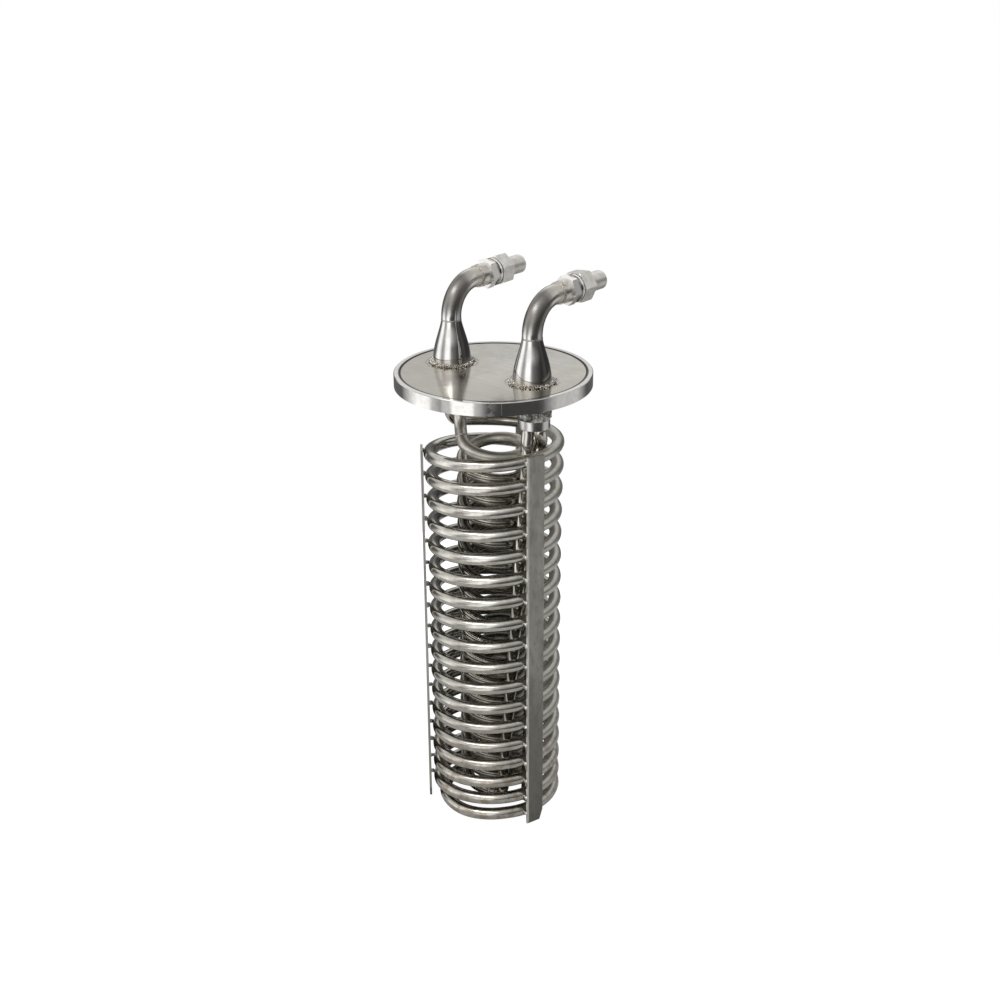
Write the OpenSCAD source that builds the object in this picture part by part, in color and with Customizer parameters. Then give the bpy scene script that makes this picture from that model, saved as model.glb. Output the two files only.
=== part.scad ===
// Immersion wort chiller: a stainless lid that carries two nested tube coils.
// Water comes in through one gooseneck, runs down both coils and rises again
// through two straight tubes to the other gooseneck.
// Origin: centre of the rim's underside. +Z up, the two ports lie along X,
// and both unions point along +Y. All sizes are in millimetres.

/* [Lid] */
// Outer diameter of the rim
lid_d = 250; // [220:1:300]
// Height of the rim
lid_h = 17; // [14:0.5:26]
// Radial width of the rim
rim_w = 7; // [4:0.5:10]
// Thickness of the plate
plate_t = 5; // [3:0.5:7]
// How far the plate's top lies below the rim's top
plate_drop = 0.6; // [0.3:0.1:2]
// Leg of the weld fillet under the plate's edge
fillet_leg = 3; // [1.5:0.5:4]

/* [Goosenecks] */
// Distance of each port from the lid's centre
port_x = 65.5; // [62:0.5:70]
// How far the goosenecks stand off the line through both headers
port_y = -4; // [-6:0.5:6]
// Outer diameter of the gooseneck tube
pipe_d = 25.4; // [20:0.1:28]
// Wall of the gooseneck tube and the reducer
pipe_wall = 1.6; // [1:0.1:2.5]
// Outer diameter of the reducer at the lid
cone_d = 49; // [44:0.5:56]
// Height of the reducer
cone_h = 56; // [40:1:80]
// Centreline radius of the elbow
bend_r = 42; // [34:1:50]
// Straight stretch under the elbow
neck_up = 3; // [2:0.5:20]
// Straight stretch after the elbow
neck_out = 7; // [4:0.5:20]
// Width of the weld bead round the reducer's foot
bead_w = 4.5; // [2:0.5:6]
// Height of the weld bead round the reducer's foot
bead_h = 3; // [1.5:0.5:5]

/* [Unions] */
// Diameter of the collar that is welded to the elbow
collar_d = 29; // [29:0.5:31]
// Length of the collar
collar_len = 14; // [8:1:24]
// Width of the body's hexagon across its flats
body_af = 33; // [32:0.5:35]
// Length of the body's hexagon
body_len = 11.5; // [8:0.5:22]
// Diameter of the round shoulder behind the nut
shoulder_d = 35.5; // [33:0.5:36]
// Length of the round shoulder
shoulder_len = 6.5; // [3:0.5:10]
// Outer diameter of the body's thread
thread_d = 30; // [28.5:0.5:31]
// Length of thread inside the nut
thread_in = 9.6; // [9:0.1:12]
// Length of bare thread between the shoulder and the nut
thread_bare = 1.5; // [1:0.5:5]
// Width of each nut across its flats
nut_af = 36; // [35:0.5:41]
// Thickness of the nut's lip round the tail
nut_lip = 5; // [3:0.5:8]
// Outer diameter of the tail tube
tail_d = 24; // [22:0.5:25]
// Wall of the tail tube
tail_wall = 2.3; // [1.5:0.1:3]
// Length of tail tube beyond the nut
tail_out = 32; // [15:1:60]
// How far the tail is thicker where the nut's lip turns on it
neck_step = 0.3; // [0.1:0.1:0.5]
// Thickness of the tail's flange inside the nut
flange_t = 4.4; // [3:0.2:6]
// Thickness of the flat seal
seal_t = 2; // [1:0.5:3]
// Angle at which the inlet nut has come to rest
inlet_nut_a = 23; // [0:1:60]
// Angle at which the outlet nut has come to rest
outlet_nut_a = 5; // [0:1:60]
// Angle at which both bodies' hexagons are welded
body_a = 52; // [0:1:60]

/* [Headers] */
// Outer diameter of the header pipe under the lid
header_d = 39.6; // [39:0.1:42]
// Wall of the header pipe
header_wall = 1.8; // [1.2:0.1:2.5]
// How far the header cap's face hangs below the rim
header_drop = 43; // [40:1:46]
// Height of the header cap
cap_h = 12; // [8:0.5:18]
// How far the cap stands out past the pipe
cap_step = 0.4; // [0.2:0.1:1]
// Thickness of the cap's face
cap_t = 3; // [2:0.5:5]
// Gap between the two tubes that share a header
twin_gap = 0.8; // [0.6:0.1:1.6]
// Angle by which the outlet header's tubes are turned off the ports' line
twin_a = 8; // [0:1:15]
// Height of the rough weld above the cap
header_bead_h = 12; // [6:1:16]
// How far the rough weld stands out
header_bead_w = 2; // [1:0.2:3]

/* [Coils] */
// Outer diameter of the coil tube
tube_d = 16; // [14:0.1:16.5]
// Centreline radius of the outer coil
outer_r = 79.5; // [79:0.5:84]
// How much wider the outer coil's first turn is wound
outer_flare = 5.2; // [3:0.1:8]
// Whole turns of the outer coil
outer_turns = 18; // [12:1:20]
// Depth under the rim at which the outer coil begins
outer_top = 72.9; // [72:0.1:80]
// Pitch of the outer coil at its top
outer_pitch = 31.9; // [29:0.1:34]
// Pitch of the outer coil at its foot
outer_pitch_low = 23; // [21:0.5:30]
// Clear width between the outer coil and the inner coil
coil_gap = 23; // [22.5:0.5:25]
// Whole turns of the inner coil
inner_turns = 17; // [11:1:17]
// Depth under the rim at which the inner coil begins
inner_top = 72.5; // [72:0.5:85]
// Pitch of the inner coil at its top
inner_pitch = 29.5; // [26:0.1:31]
// Pitch of the inner coil at its foot
inner_pitch_low = 27.8; // [25:0.1:31]
// How far every turn of the outer coil leans up at the front and down behind
outer_lean = 5; // [0:0.5:6]
// How far every turn of the inner coil leans the other way
inner_lean = 5.3; // [0:0.1:6]
// How far the outer coil drops where it comes off its header
start_drop = 8; // [4:0.5:10]
// Reach of the bend that leads the outer coil off its header
start_reach = 15; // [14:0.5:18]
// Direction in which that bend leads the tube away
start_a = 85; // [80:1:90]
// Centreline radius of the bend that leads the inner coil off its header
feed_bend = 20; // [16:0.5:24]
// Centreline radius of the bends between the coils and their risers
end_bend = 18; // [16:0.5:20]
// Clearance between a riser and the coil beside it
riser_gap = 1.6; // [1:0.1:2]
// Height over which a riser's neck swings from the coil to its hole
neck_run = 33; // [30:1:36]
// Straight stretch of a riser under its hole
neck_lead = 4; // [3:0.5:6]

/* [Strips] */
// Width of the three flat bars
strip_w = 25; // [15:1:30]
// Thickness of the flat bars
strip_t = 3; // [2:0.5:5]
// Gap between the first turn and the first bar
strip_gap = 0.4; // [0.3:0.1:2]
// Direction of the first bar
strip_a0 = -16; // [-24:1:-10]
// How far the bars reach above the first turn
strip_over = 8; // [0:0.5:12]
// How far the bars' feet reach below the coil
foot_over = 0.5; // [0.5:0.5:10]
// Height of the cut corner at a bar's foot
corner_h = 15; // [5:1:30]
// Width of the cut corner at a bar's foot
corner_w = 5; // [2:1:10]
// Diameter of the tack welds
tack_d = 5; // [3:0.5:7]

/* [Hidden] */

steel_brushed = [0.73, 0.72, 0.69];
steel_bright = [0.82, 0.82, 0.81];
steel_cast = [0.78, 0.77, 0.73];
steel_mill = [0.62, 0.61, 0.58];
weld_grey = [0.60, 0.59, 0.57];
seal_white = [0.92, 0.92, 0.90];

// Gap between pieces that are welded or seated together
seat = 0.3;
// Gap between a tack weld and the flat-sided tube that it ties
tack_seat = 0.5;
// Radial clearance of the nut on its thread and on the tail
running = 0.08;
// End play of the nut's lip behind the tail's flange
nut_play = 0.1;
// Chamfer of the nut, the body hexagon and the tube ends
edge = 1.2;
// Bars around the coils
bars = 3;
// Facets of a round piece
round_fn = 72;

plate_top = lid_h - plate_drop;
plate_under = plate_top - plate_t;
plate_r = lid_d / 2 - rim_w - seat;
bore_r = pipe_d / 2 - pipe_wall;

neck_z = plate_top + cone_h;
axis_z = neck_z + neck_up + bend_r;
union_y = port_y + bend_r + neck_out;

thread_z = collar_len + body_len;
nut_z = thread_z + shoulder_len + thread_bare;
seal_z = nut_z + thread_in;
flange_z = seal_z + seal_t;
lip_z = flange_z + flange_t + nut_play;
nut_end = lip_z + nut_lip;
tail_bore_r = tail_d / 2 - tail_wall;
neck_r = tail_d / 2 + neck_step;
flange_r = thread_d / 2 - 0.4;

cap_r = header_d / 2 + cap_step;
cap_top = -header_drop + cap_h;
twin = (tube_d + twin_gap) / 2;
tube_top = -header_drop - seat;

// A tube of few sides gets corners a little outside the round tube,
// so that both hold the same metal.
function corner_r(sides) = tube_d / 2 * sqrt(2 * PI / (sides * sin(360 / sides)));
coil_sides = 6;
riser_sides = 12;
outer_rings = 22;
inner_rings = 18;
tube_r = tube_d / 2;
// Centreline radius of the inner coil
inner_r = outer_r - tube_d - coil_gap;
// Half of the coil tube's thickness from flat to flat
flat_r = corner_r(coil_sides) * cos(180 / coil_sides);

function polar(r, a, z) = [r * cos(a), r * sin(a), z];
function unit(v) = v / norm(v);
function mix(a, b, u) = a + (b - a) * u;
function smooth(u) = let (c = min(1, max(0, u))) c * c * (3 - 2 * c);

// Direction of the lid's front, to which the turns lean
front_a = -50;
function lean_z(a, lean) = lean * cos(a - front_a);
// How far a coil has come down after s turns: its pitch narrows from top to low
// with the cube of the height.
function fall(s, top, low, total) = top * s - (top - low) * s * pow(s / total, 3) / 4;

// A bend's centreline: it leaves p along d and turns towards e.
function bend(p, d, e, r, angles) =
    [for (a = angles) p + r * sin(a) * d + r * (1 - cos(a)) * e];
down = [0, 0, -1];

// ---- Where the risers stand ----
// The inner riser hugs the inner coil, the outer riser the outer coil.
inner_riser_r = inner_r + tube_d + riser_gap;
outer_riser_r = outer_r - tube_d - riser_gap;
// Direction of each riser's foot and of its waist, where it meets its run
inner_foot_a = -40.6;
outer_foot_a = -7;
inner_waist_a = -4.6;
outer_waist_a = 9.8;
waist_z = tube_top - neck_run;
// Straight stretch between a coil's end and the bend of its riser
foot_lead = 2;
bend_reach = foot_lead + end_bend;

// ---- Outer coil: clockwise going down, seen from above ----
outer_x = port_x + twin;
start_head = [cos(start_a), sin(start_a), 0];
outer_p0 = [-outer_x, 0, 0] + start_reach * start_head;
outer_a0 = atan2(outer_p0[1], outer_p0[0]);
outer_r0 = norm(outer_p0);
// Turns over which the wide first turn narrows
flare_turns = 1.5;
function flared(r, s) = r + outer_flare * exp(-s / flare_turns);
// Rate at which the coil opens out, so that it runs on from its first bend
open_rate = (2 * PI * outer_r0 / tan(outer_a0 - start_a) + outer_flare / flare_turns)
    / (outer_r + outer_flare - outer_r0);
// The tail spirals in under the inner coil. One straight stretch and one bend
// then end on the outer riser's circle.
tail_run = tube_d + 2;
tail_r = sqrt(pow(outer_riser_r, 2) - pow(tail_run + bend_reach, 2));
outer_end_a = outer_foot_a + acos(tail_r / outer_riser_r);
outer_end = outer_turns + (outer_a0 - outer_end_a) / 360;
tail_sweep = 0.78;
tail_s = outer_end - tail_sweep;
// Turns wound where the last turn levels out
level_s = tail_s - 0.06;
// Turns over which the pitch sets in, and over which the start drops
pitch_lead = 0.5;
drop_turns = 0.07;
function eased(s) = s < pitch_lead ? s * s / (2 * pitch_lead) : s - pitch_lead / 2;
function outer_a(s) = outer_a0 - 360 * s;
function outer_wound_r(s) = flared(outer_r, s)
    - (outer_r + outer_flare - outer_r0) * exp(-open_rate * s);
function outer_rad(s) =
    mix(outer_wound_r(s), tail_r, smooth((s - tail_s) / (0.9 * tail_sweep)));
function outer_z(s) = start_drop * exp(-s / drop_turns) - outer_top
    - fall(eased(min(s, level_s)), outer_pitch, outer_pitch_low, outer_end)
    + lean_z(outer_a(s), outer_lean) * (1 - smooth((s - level_s) / 0.2));
function outer_at(s) = polar(outer_rad(s), outer_a(s), outer_z(s));
outer_steps = ceil(outer_end * outer_rings);
outer_head = unit(outer_at(0.01) - outer_at(0));
outer_turn = 90 - asin(-outer_head[2]);
start_bend = start_reach / (1 - cos(outer_turn));
tail_head = [sin(outer_end_a), -cos(outer_end_a), 0];
outer_foot = outer_at(outer_end) + tail_run * tail_head;
outer_lead_in = concat(
    [[-outer_x, 0, tube_top]],
    bend([-outer_x, 0, outer_z(0) + start_bend * sin(outer_turn)],
        down, start_head, start_bend, [for (k = [0:3]) outer_turn * k / 4])
);
outer_path = concat(
    outer_lead_in,
    [for (i = [0:outer_steps]) outer_at(outer_end * i / outer_steps)],
    [for (d = [tail_run / 2, tail_run - seat]) outer_at(outer_end) + d * tail_head]
);
function outward(p) = unit([p[0], p[1], 0]);
outer_out = [for (i = [0:len(outer_path) - 1])
    i < len(outer_lead_in) ? [-1, 0, 0]
    : i > len(outer_path) - 3 ? outward(outer_at(outer_end))
    : outward(outer_path[i])];

// ---- Inner coil: anticlockwise going down, seen from above ----
// The feed bends into a straight line that is tangent to the coil's circle.
inner_x = port_x - twin;
feed_a = -asin(inner_r / inner_x);
feed_head = [cos(feed_a), sin(feed_a), 0];
inner_a0 = 270 + feed_a;
inner_end_a = inner_foot_a - acos(inner_r / inner_riser_r) + 360;
inner_end = inner_turns + (inner_end_a - inner_a0) / 360;
function inner_a(s) = inner_a0 + 360 * s;
function inner_z(s) = -inner_top - fall(s, inner_pitch, inner_pitch_low, inner_end)
    - lean_z(inner_a(s), inner_lean);
function inner_at(s) = polar(inner_r, inner_a(s), inner_z(s));
inner_steps = ceil(inner_end * inner_rings);
end_head = [-sin(inner_end_a), cos(inner_end_a), 0];
end_run = sqrt(pow(inner_riser_r, 2) - pow(inner_r, 2)) - bend_reach;
inner_foot = inner_at(inner_end) + end_run * end_head;
inner_lead_in = concat(
    [[-inner_x, 0, tube_top]],
    bend([-inner_x, 0, inner_z(0) + feed_bend], down, feed_head, feed_bend, [0:18:90])
);
inner_path = concat(
    inner_lead_in,
    [for (i = [0:inner_steps]) inner_at(inner_end * i / inner_steps)],
    [for (d = [end_run / 2, end_run - seat]) inner_at(inner_end) + d * end_head]
);
inner_out = [for (i = [0:len(inner_path) - 1])
    i < len(inner_lead_in) ? outward(inner_at(0))
    : i > len(inner_path) - 3 ? outward(inner_at(inner_end))
    : outward(inner_path[i])];

// ---- Risers: a bend at the coil's end, a long run that hugs the coil, and a
// neck. In the neck the two risers first swing apart and then draw outward. ----
neck_top_z = tube_top - neck_lead;
function riser_r(r, flare, z) =
    r + flare * exp(((z + outer_top) / outer_pitch - pitch_lead) / flare_turns);
function riser_path(foot, head, r, flare, waist_a, side) =
    let (
        run_foot = foot + bend_reach * head + [0, 0, end_bend],
        foot_a = atan2(run_foot[1], run_foot[0]),
        hole = [port_x + side * twin * cos(twin_a), side * twin * sin(twin_a)],
        hole_r = norm(hole),
        hole_a = atan2(hole[1], hole[0])
    ) concat(
        [foot],
        bend(foot + foot_lead * head, head, [0, 0, 1], end_bend, [0:15:75]),
        [for (u = [0:0.1:1]) let (z = mix(run_foot[2], waist_z, u))
            polar(riser_r(r, flare, z), mix(foot_a, waist_a, u), z)],
        [for (v = [0.88:-0.125:0.1]) let (z = mix(neck_top_z, waist_z, v))
            polar(mix(hole_r, riser_r(r, flare, z), smooth((v - 0.15) / 0.85)),
                mix(hole_a, waist_a, smooth(v / 0.85)), z)],
        [for (z = [neck_top_z, tube_top]) [hole[0], hole[1], z]]
    );
outer_riser_path =
    riser_path(outer_foot, tail_head, outer_riser_r, outer_flare, outer_waist_a, 1);
inner_riser_path = riser_path(inner_foot, end_head, inner_riser_r, 0, inner_waist_a, -1);

// Least gap of each coil to itself: the least distance between centreline
// points more than half a turn apart, less the tube's corner diameter.
function least_gap(path, rings) =
    min([for (i = [0:len(path) - 1])
        for (j = [i + floor(rings / 2):1:min(len(path) - 1, i + floor(1.5 * rings))])
            norm(path[i] - path[j])]) - 2 * corner_r(coil_sides);
echo(outer_coil_least_gap_mm = least_gap(outer_path, outer_rings));
echo(inner_coil_least_gap_mm = least_gap(inner_path, inner_rings));

// One unbroken tube of flat sides along a path. Each ring is square to the
// path, and its first flat faces the given outward direction.
module tube(path, out, sides) {
    last = len(path) - 1;
    r = corner_r(sides);
    rings = [for (i = [0:last])
        let (
            t = unit(path[min(last, i + 1)] - path[max(0, i - 1)]),
            n = unit(out[i] - (out[i] * t) * t),
            b = cross(t, n)
        ) each [for (k = [0:sides - 1])
            let (a = (k + 0.5) * 360 / sides) path[i] + r * (cos(a) * n + sin(a) * b)]];
    walls = [for (i = [0:last - 1]) for (k = [0:sides - 1])
        let (
            p = i * sides + k,
            q = i * sides + (k + 1) % sides
        ) each [[p, q + sides, q], [p, p + sides, q + sides]]];
    caps = [for (k = [1:sides - 2])
        each [[0, k, k + 1], last * sides * [1, 1, 1] + [0, k + 1, k]]];
    polyhedron(points = rings, faces = concat(walls, caps), convexity = 10);
}

// ---- Lid ----
module lid_plate() {
    color(steel_brushed) difference() {
        translate([0, 0, plate_under]) cylinder(h = plate_t, r = plate_r, $fn = 144);
        for (x = [-port_x, port_x])
            translate([x, 0, plate_under - 1])
                cylinder(h = plate_t + 2, r = header_d / 2 - header_wall, $fn = round_fn);
    }
}

module lid_rim() {
    e = min(0.8, rim_w / 6);
    r = lid_d / 2;
    color(steel_bright) rotate_extrude($fn = 144) polygon([
        [r - rim_w, 0], [r, 0], [r, lid_h - e],
        [r - e, lid_h], [r - rim_w, lid_h]
    ]);
}

module lid_weld() {
    color(weld_grey) rotate_extrude($fn = 144) polygon([
        [plate_r + seat, plate_under], [plate_r + seat, plate_under - fillet_leg],
        [plate_r + seat - fillet_leg, plate_under]
    ]);
}

// ---- Goosenecks ----
module at_port(x) {
    translate([x, port_y, plate_top]) children();
}

// Outer radius of the reducer at a share u of its height: upright at the
// foot, tapering in a line and hollowed towards the neck.
function cone_rad(u) = pipe_d / 2 + (cone_d - pipe_d) / 2 * pow(cos(90 * u), 1.3);

module reducer() {
    steps = 14;
    outer = [for (i = [0:steps]) [cone_rad(i / steps), cone_h * i / steps]];
    inner = [for (i = [steps:-1:0]) [cone_rad(i / steps) - pipe_wall, cone_h * i / steps]];
    rotate_extrude($fn = round_fn) polygon(concat(outer, inner));
}

// A heaped bead that fills the corner between an upright wall and a floor.
module foot_bead(r, w, h) {
    arc = [for (a = [0:15:90]) [r + w * cos(a), h * sin(a)]];
    rotate_extrude($fn = round_fn) polygon(concat([[r, 0]], arc));
}

module pipe_ring() {
    difference() {
        circle(r = pipe_d / 2, $fn = round_fn);
        circle(r = bore_r, $fn = round_fn);
    }
}

module elbow() {
    translate([0, port_y, neck_z]) {
        linear_extrude(height = neck_up) pipe_ring();
        translate([0, bend_r, neck_up]) rotate([90, 0, -90])
            rotate_extrude(angle = 90, $fn = 96) translate([bend_r, 0]) pipe_ring();
        translate([0, bend_r, neck_up + bend_r]) rotate([-90, 0, 0])
            linear_extrude(height = neck_out) pipe_ring();
    }
}

// ---- Unions ----
module at_union(x) {
    translate([x, union_y, axis_z]) rotate([-90, 0, 0]) children();
}

// A hexagonal prism with both ends turned to a chamfer.
module hex_bar(af, h, c) {
    corner = af / sqrt(3);
    intersection() {
        cylinder(h = h, r = corner, $fn = 6);
        rotate_extrude($fn = round_fn) polygon([
            [0, 0], [corner - c, 0], [corner, c * 0.7],
            [corner, h - c * 0.7], [corner - c, h], [0, h]
        ]);
    }
}

module union_body() {
    difference() {
        union() {
            cylinder(h = collar_len + edge, r = collar_d / 2, $fn = round_fn);
            translate([0, 0, collar_len]) rotate([0, 0, -body_a])
                hex_bar(body_af, body_len, edge);
            translate([0, 0, thread_z])
                cylinder(h = shoulder_len, r = shoulder_d / 2, $fn = round_fn);
            translate([0, 0, thread_z - edge])
                cylinder(h = seal_z - thread_z + edge, r = thread_d / 2, $fn = round_fn);
        }
        translate([0, 0, -1]) cylinder(h = seal_z + 2, r = bore_r, $fn = round_fn);
    }
}

module union_seal() {
    translate([0, 0, seal_z]) difference() {
        cylinder(h = seal_t, r = flange_r, $fn = round_fn);
        translate([0, 0, -1]) cylinder(h = seal_t + 2, r = tail_bore_r, $fn = round_fn);
    }
}

module union_tail() {
    end_z = nut_end + tail_out;
    c = edge / 2;
    rotate_extrude($fn = round_fn) polygon([
        [tail_bore_r, flange_z], [flange_r, flange_z], [flange_r, flange_z + flange_t],
        [neck_r, flange_z + flange_t], [neck_r, nut_end + seat],
        [tail_d / 2, nut_end + seat + neck_step], [tail_d / 2, end_z - c],
        [tail_d / 2 - c, end_z], [tail_bore_r, end_z]
    ]);
}

module union_nut(turned) {
    thread_room = thread_d / 2 + running;
    difference() {
        translate([0, 0, nut_z]) rotate([0, 0, -turned]) hex_bar(nut_af, nut_end - nut_z, edge);
        translate([0, 0, nut_z - 1])
            cylinder(h = lip_z - nut_z + 1, r = thread_room, $fn = round_fn);
        translate([0, 0, nut_z - 1])
            cylinder(h = nut_end - nut_z + 2, r = neck_r + running, $fn = round_fn);
    }
}

// ---- Headers ----
module header() {
    h = plate_under - cap_top;
    translate([0, 0, cap_top]) difference() {
        cylinder(h = h, r = header_d / 2, $fn = round_fn);
        translate([0, 0, -1]) cylinder(h = h + 2, r = header_d / 2 - header_wall, $fn = round_fn);
    }
}

module header_weld() {
    r = header_d / 2 + seat;
    arc = [for (a = [-90:15:90])
        [r + header_bead_w * cos(a), header_bead_h / 2 * (1 + sin(a))]];
    translate([0, 0, cap_top]) rotate_extrude($fn = round_fn) polygon(arc);
}

// The cap's face stays closed: the tubes are welded over holes that it hides.
module header_cap() {
    c = edge / 2;
    w = header_wall + cap_step;
    rotate_extrude($fn = round_fn) translate([0, -header_drop]) polygon([
        [0, 0], [cap_r - c, 0], [cap_r, c], [cap_r, cap_h],
        [cap_r - w, cap_h], [cap_r - w, cap_t], [0, cap_t]
    ]);
}

// ---- Strips and tack welds ----
function strip_a(i) = strip_a0 - 360 / bars * i;
// Turns wound where the coil first runs behind each bar
function first_cross(i) = let (s = (outer_a0 - strip_a(i)) / 360) s - floor(s);
strip_in = outer_wound_r(first_cross(0)) + tube_r + strip_gap;
strip_foot_z = outer_foot[2] - corner_r(coil_sides) - foot_over;

module strip(i) {
    h = outer_z(first_cross(i)) + strip_over - strip_foot_z;
    rotate([0, 0, strip_a(i)]) translate([strip_in, 0, strip_foot_z]) rotate([90, 0, 90])
        linear_extrude(height = strip_t) polygon([
            [-strip_w / 2, 0], [strip_w / 2 - corner_w, 0], [strip_w / 2, corner_h],
            [strip_w / 2, h], [-strip_w / 2, h]
        ]);
}

// One tack ties each turn to each strip, near the strip's clockwise edge.
module tack(i, s) {
    side = strip_w / 2 - tack_d / 2;
    from = outer_rad(s) + flat_r + tack_seat - side * side / (2 * outer_r);
    rotate([0, 0, strip_a(i)]) translate([from, -side, outer_z(s)]) rotate([0, 90, 0])
        cylinder(h = strip_in - seat - from, r = tack_d / 2, $fn = 24);
}

// ---- Sub-parts ----
module inlet_reducer() { color(steel_bright) at_port(-port_x) reducer(); }
module outlet_reducer() { color(steel_bright) at_port(port_x) reducer(); }
module inlet_foot_weld() {
    color(weld_grey) at_port(-port_x) foot_bead(cone_d / 2 + seat, bead_w, bead_h);
}
module outlet_foot_weld() {
    color(weld_grey) at_port(port_x) foot_bead(cone_d / 2 + seat, bead_w, bead_h);
}
module inlet_elbow() { color(steel_bright) translate([-port_x, 0, 0]) elbow(); }
module outlet_elbow() { color(steel_bright) translate([port_x, 0, 0]) elbow(); }
module inlet_union_body() { color(steel_bright) at_union(-port_x) union_body(); }
module outlet_union_body() { color(steel_bright) at_union(port_x) union_body(); }
module inlet_union_seal() { color(seal_white) at_union(-port_x) union_seal(); }
module outlet_union_seal() { color(seal_white) at_union(port_x) union_seal(); }
module inlet_union_tail() { color(steel_cast) at_union(-port_x) union_tail(); }
module outlet_union_tail() { color(steel_cast) at_union(port_x) union_tail(); }
module inlet_union_nut() { color(steel_cast) at_union(-port_x) union_nut(inlet_nut_a); }
module outlet_union_nut() { color(steel_cast) at_union(port_x) union_nut(outlet_nut_a); }
module inlet_header() { color(steel_bright) translate([-port_x, 0, 0]) header(); }
module outlet_header() { color(steel_bright) translate([port_x, 0, 0]) header(); }
module inlet_header_weld() { color(weld_grey) translate([-port_x, 0, 0]) header_weld(); }
module outlet_header_weld() { color(weld_grey) translate([port_x, 0, 0]) header_weld(); }
module inlet_header_cap() { color(steel_bright) translate([-port_x, 0, 0]) header_cap(); }
module outlet_header_cap() { color(steel_bright) translate([port_x, 0, 0]) header_cap(); }

module outer_coil() { color(steel_cast) tube(outer_path, outer_out, coil_sides); }
module inner_coil() { color(steel_cast) tube(inner_path, inner_out, coil_sides); }
module riser(path, head) {
    side = [head[1], -head[0], 0];
    tube(path, [for (p = path) side], riser_sides);
}
module outer_riser() { color(steel_bright) riser(outer_riser_path, tail_head); }
module inner_riser() { color(steel_bright) riser(inner_riser_path, end_head); }

module strip_a() { color(steel_mill) strip(0); }
module strip_b() { color(steel_mill) strip(1); }
module strip_c() { color(steel_mill) strip(2); }

module tack_welds() {
    color(weld_grey) for (i = [0:2])
        for (s = [first_cross(i):1:tail_s]) tack(i, s);
}

lid_plate();
lid_rim();
lid_weld();
inlet_reducer();
inlet_foot_weld();
inlet_elbow();
inlet_union_body();
inlet_union_seal();
inlet_union_tail();
inlet_union_nut();
inlet_header();
inlet_header_weld();
inlet_header_cap();
outlet_reducer();
outlet_foot_weld();
outlet_elbow();
outlet_union_body();
outlet_union_seal();
outlet_union_tail();
outlet_union_nut();
outlet_header();
outlet_header_weld();
outlet_header_cap();
outer_coil();
inner_coil();
outer_riser();
inner_riser();
strip_a();
strip_b();
strip_c();
tack_welds();
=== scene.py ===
"""Look of a stainless immersion wort chiller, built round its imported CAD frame.

Lengths in the classes are millimetres in the CAD's own frame: the origin lies at the
centre of the rim's underside, +Z is up and both unions point along +Y. Every mesh is
worked out with numpy as whole arrays and reaches Blender in metres.
"""
import logging
import math
from dataclasses import dataclass, field
from enum import Enum
from typing import Any, Sequence

import bpy
import numpy as np
from mathutils import Matrix, Vector


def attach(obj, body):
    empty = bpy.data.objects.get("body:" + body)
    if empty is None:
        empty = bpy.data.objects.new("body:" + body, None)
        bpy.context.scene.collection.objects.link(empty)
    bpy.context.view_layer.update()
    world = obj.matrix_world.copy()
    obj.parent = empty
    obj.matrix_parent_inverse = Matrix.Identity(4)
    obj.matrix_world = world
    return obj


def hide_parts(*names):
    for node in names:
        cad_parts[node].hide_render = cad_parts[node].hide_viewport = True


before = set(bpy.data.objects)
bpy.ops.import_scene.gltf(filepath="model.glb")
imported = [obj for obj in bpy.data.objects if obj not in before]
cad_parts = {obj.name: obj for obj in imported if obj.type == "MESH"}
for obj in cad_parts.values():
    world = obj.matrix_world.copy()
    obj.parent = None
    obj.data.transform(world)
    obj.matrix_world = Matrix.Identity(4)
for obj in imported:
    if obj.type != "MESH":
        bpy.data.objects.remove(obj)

LOG = logging.getLogger("chiller")
X_AXIS, Y_AXIS, Z_AXIS = np.eye(3)
LEVEL = np.array([1.0, 1.0, 0.0])
MM = 0.001
TAU = 2.0 * math.pi
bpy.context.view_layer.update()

Array = np.ndarray
Triple = tuple[float, float, float]
Colour = Triple
Stops = tuple[tuple[float, float], ...]

# Dimensions that several sub-assemblies and finishes share, in millimetres.
RIM_R = 125.0
PLATE_TOP = 16.4
PORT_X = 65.5
PORT_Y = -4.0
PIPE_R = 12.7
SEAM_Z = 72.4
SEAM_Y = 45.0
AXIS_Z = 117.4
TUBE_R = 8.0
TWIN = 8.4
TWIN_A = 8.0
STRIP_W = 25.0
STRIP_A0 = -16.0
STRIP_STEP = 120.0


class Slot(Enum):
    """Material slots of the record."""

    PLATE = "lid_brushed"
    RIM = "rim_polished"
    WELD = "weld_bead"
    NECK = "neck_polished"
    UNION = "union_polished"
    SEAL = "seal_white"
    NUT = "nut_matte"
    HEADER = "header_polished"
    COIL = "coil_satin"
    STRIP = "strip_mill"


class Side(Enum):
    """The two ports, with the sign of their place along X."""

    INLET = -1
    OUTLET = 1

    @property
    def label(self) -> str:
        """The port's name as its nodes spell it."""
        return self.name.lower()

    @property
    def x(self) -> float:
        """The port's place along X."""
        return PORT_X * self.value


# ---------------------------------------------------------------- small maths


def smooth(u: Array | float) -> Array:
    """Eases from 0 to 1: three u squared less two u cubed, held at both ends.

    Args:
        u: share of the way.
    Returns:
        The eased share.
    """
    c = np.clip(u, 0.0, 1.0)
    return c * c * (3.0 - 2.0 * c)


def unit(v: Array) -> Array:
    """Each vector over its own length."""
    return v / np.linalg.norm(v, axis=-1, keepdims=True)


def circle(count: int, u: Array, v: Array) -> Array:
    """Unit vectors round a circle, from direction u towards direction v."""
    a = np.arange(count)[:, None] * TAU / count
    return np.cos(a) * u + np.sin(a) * v


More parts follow.
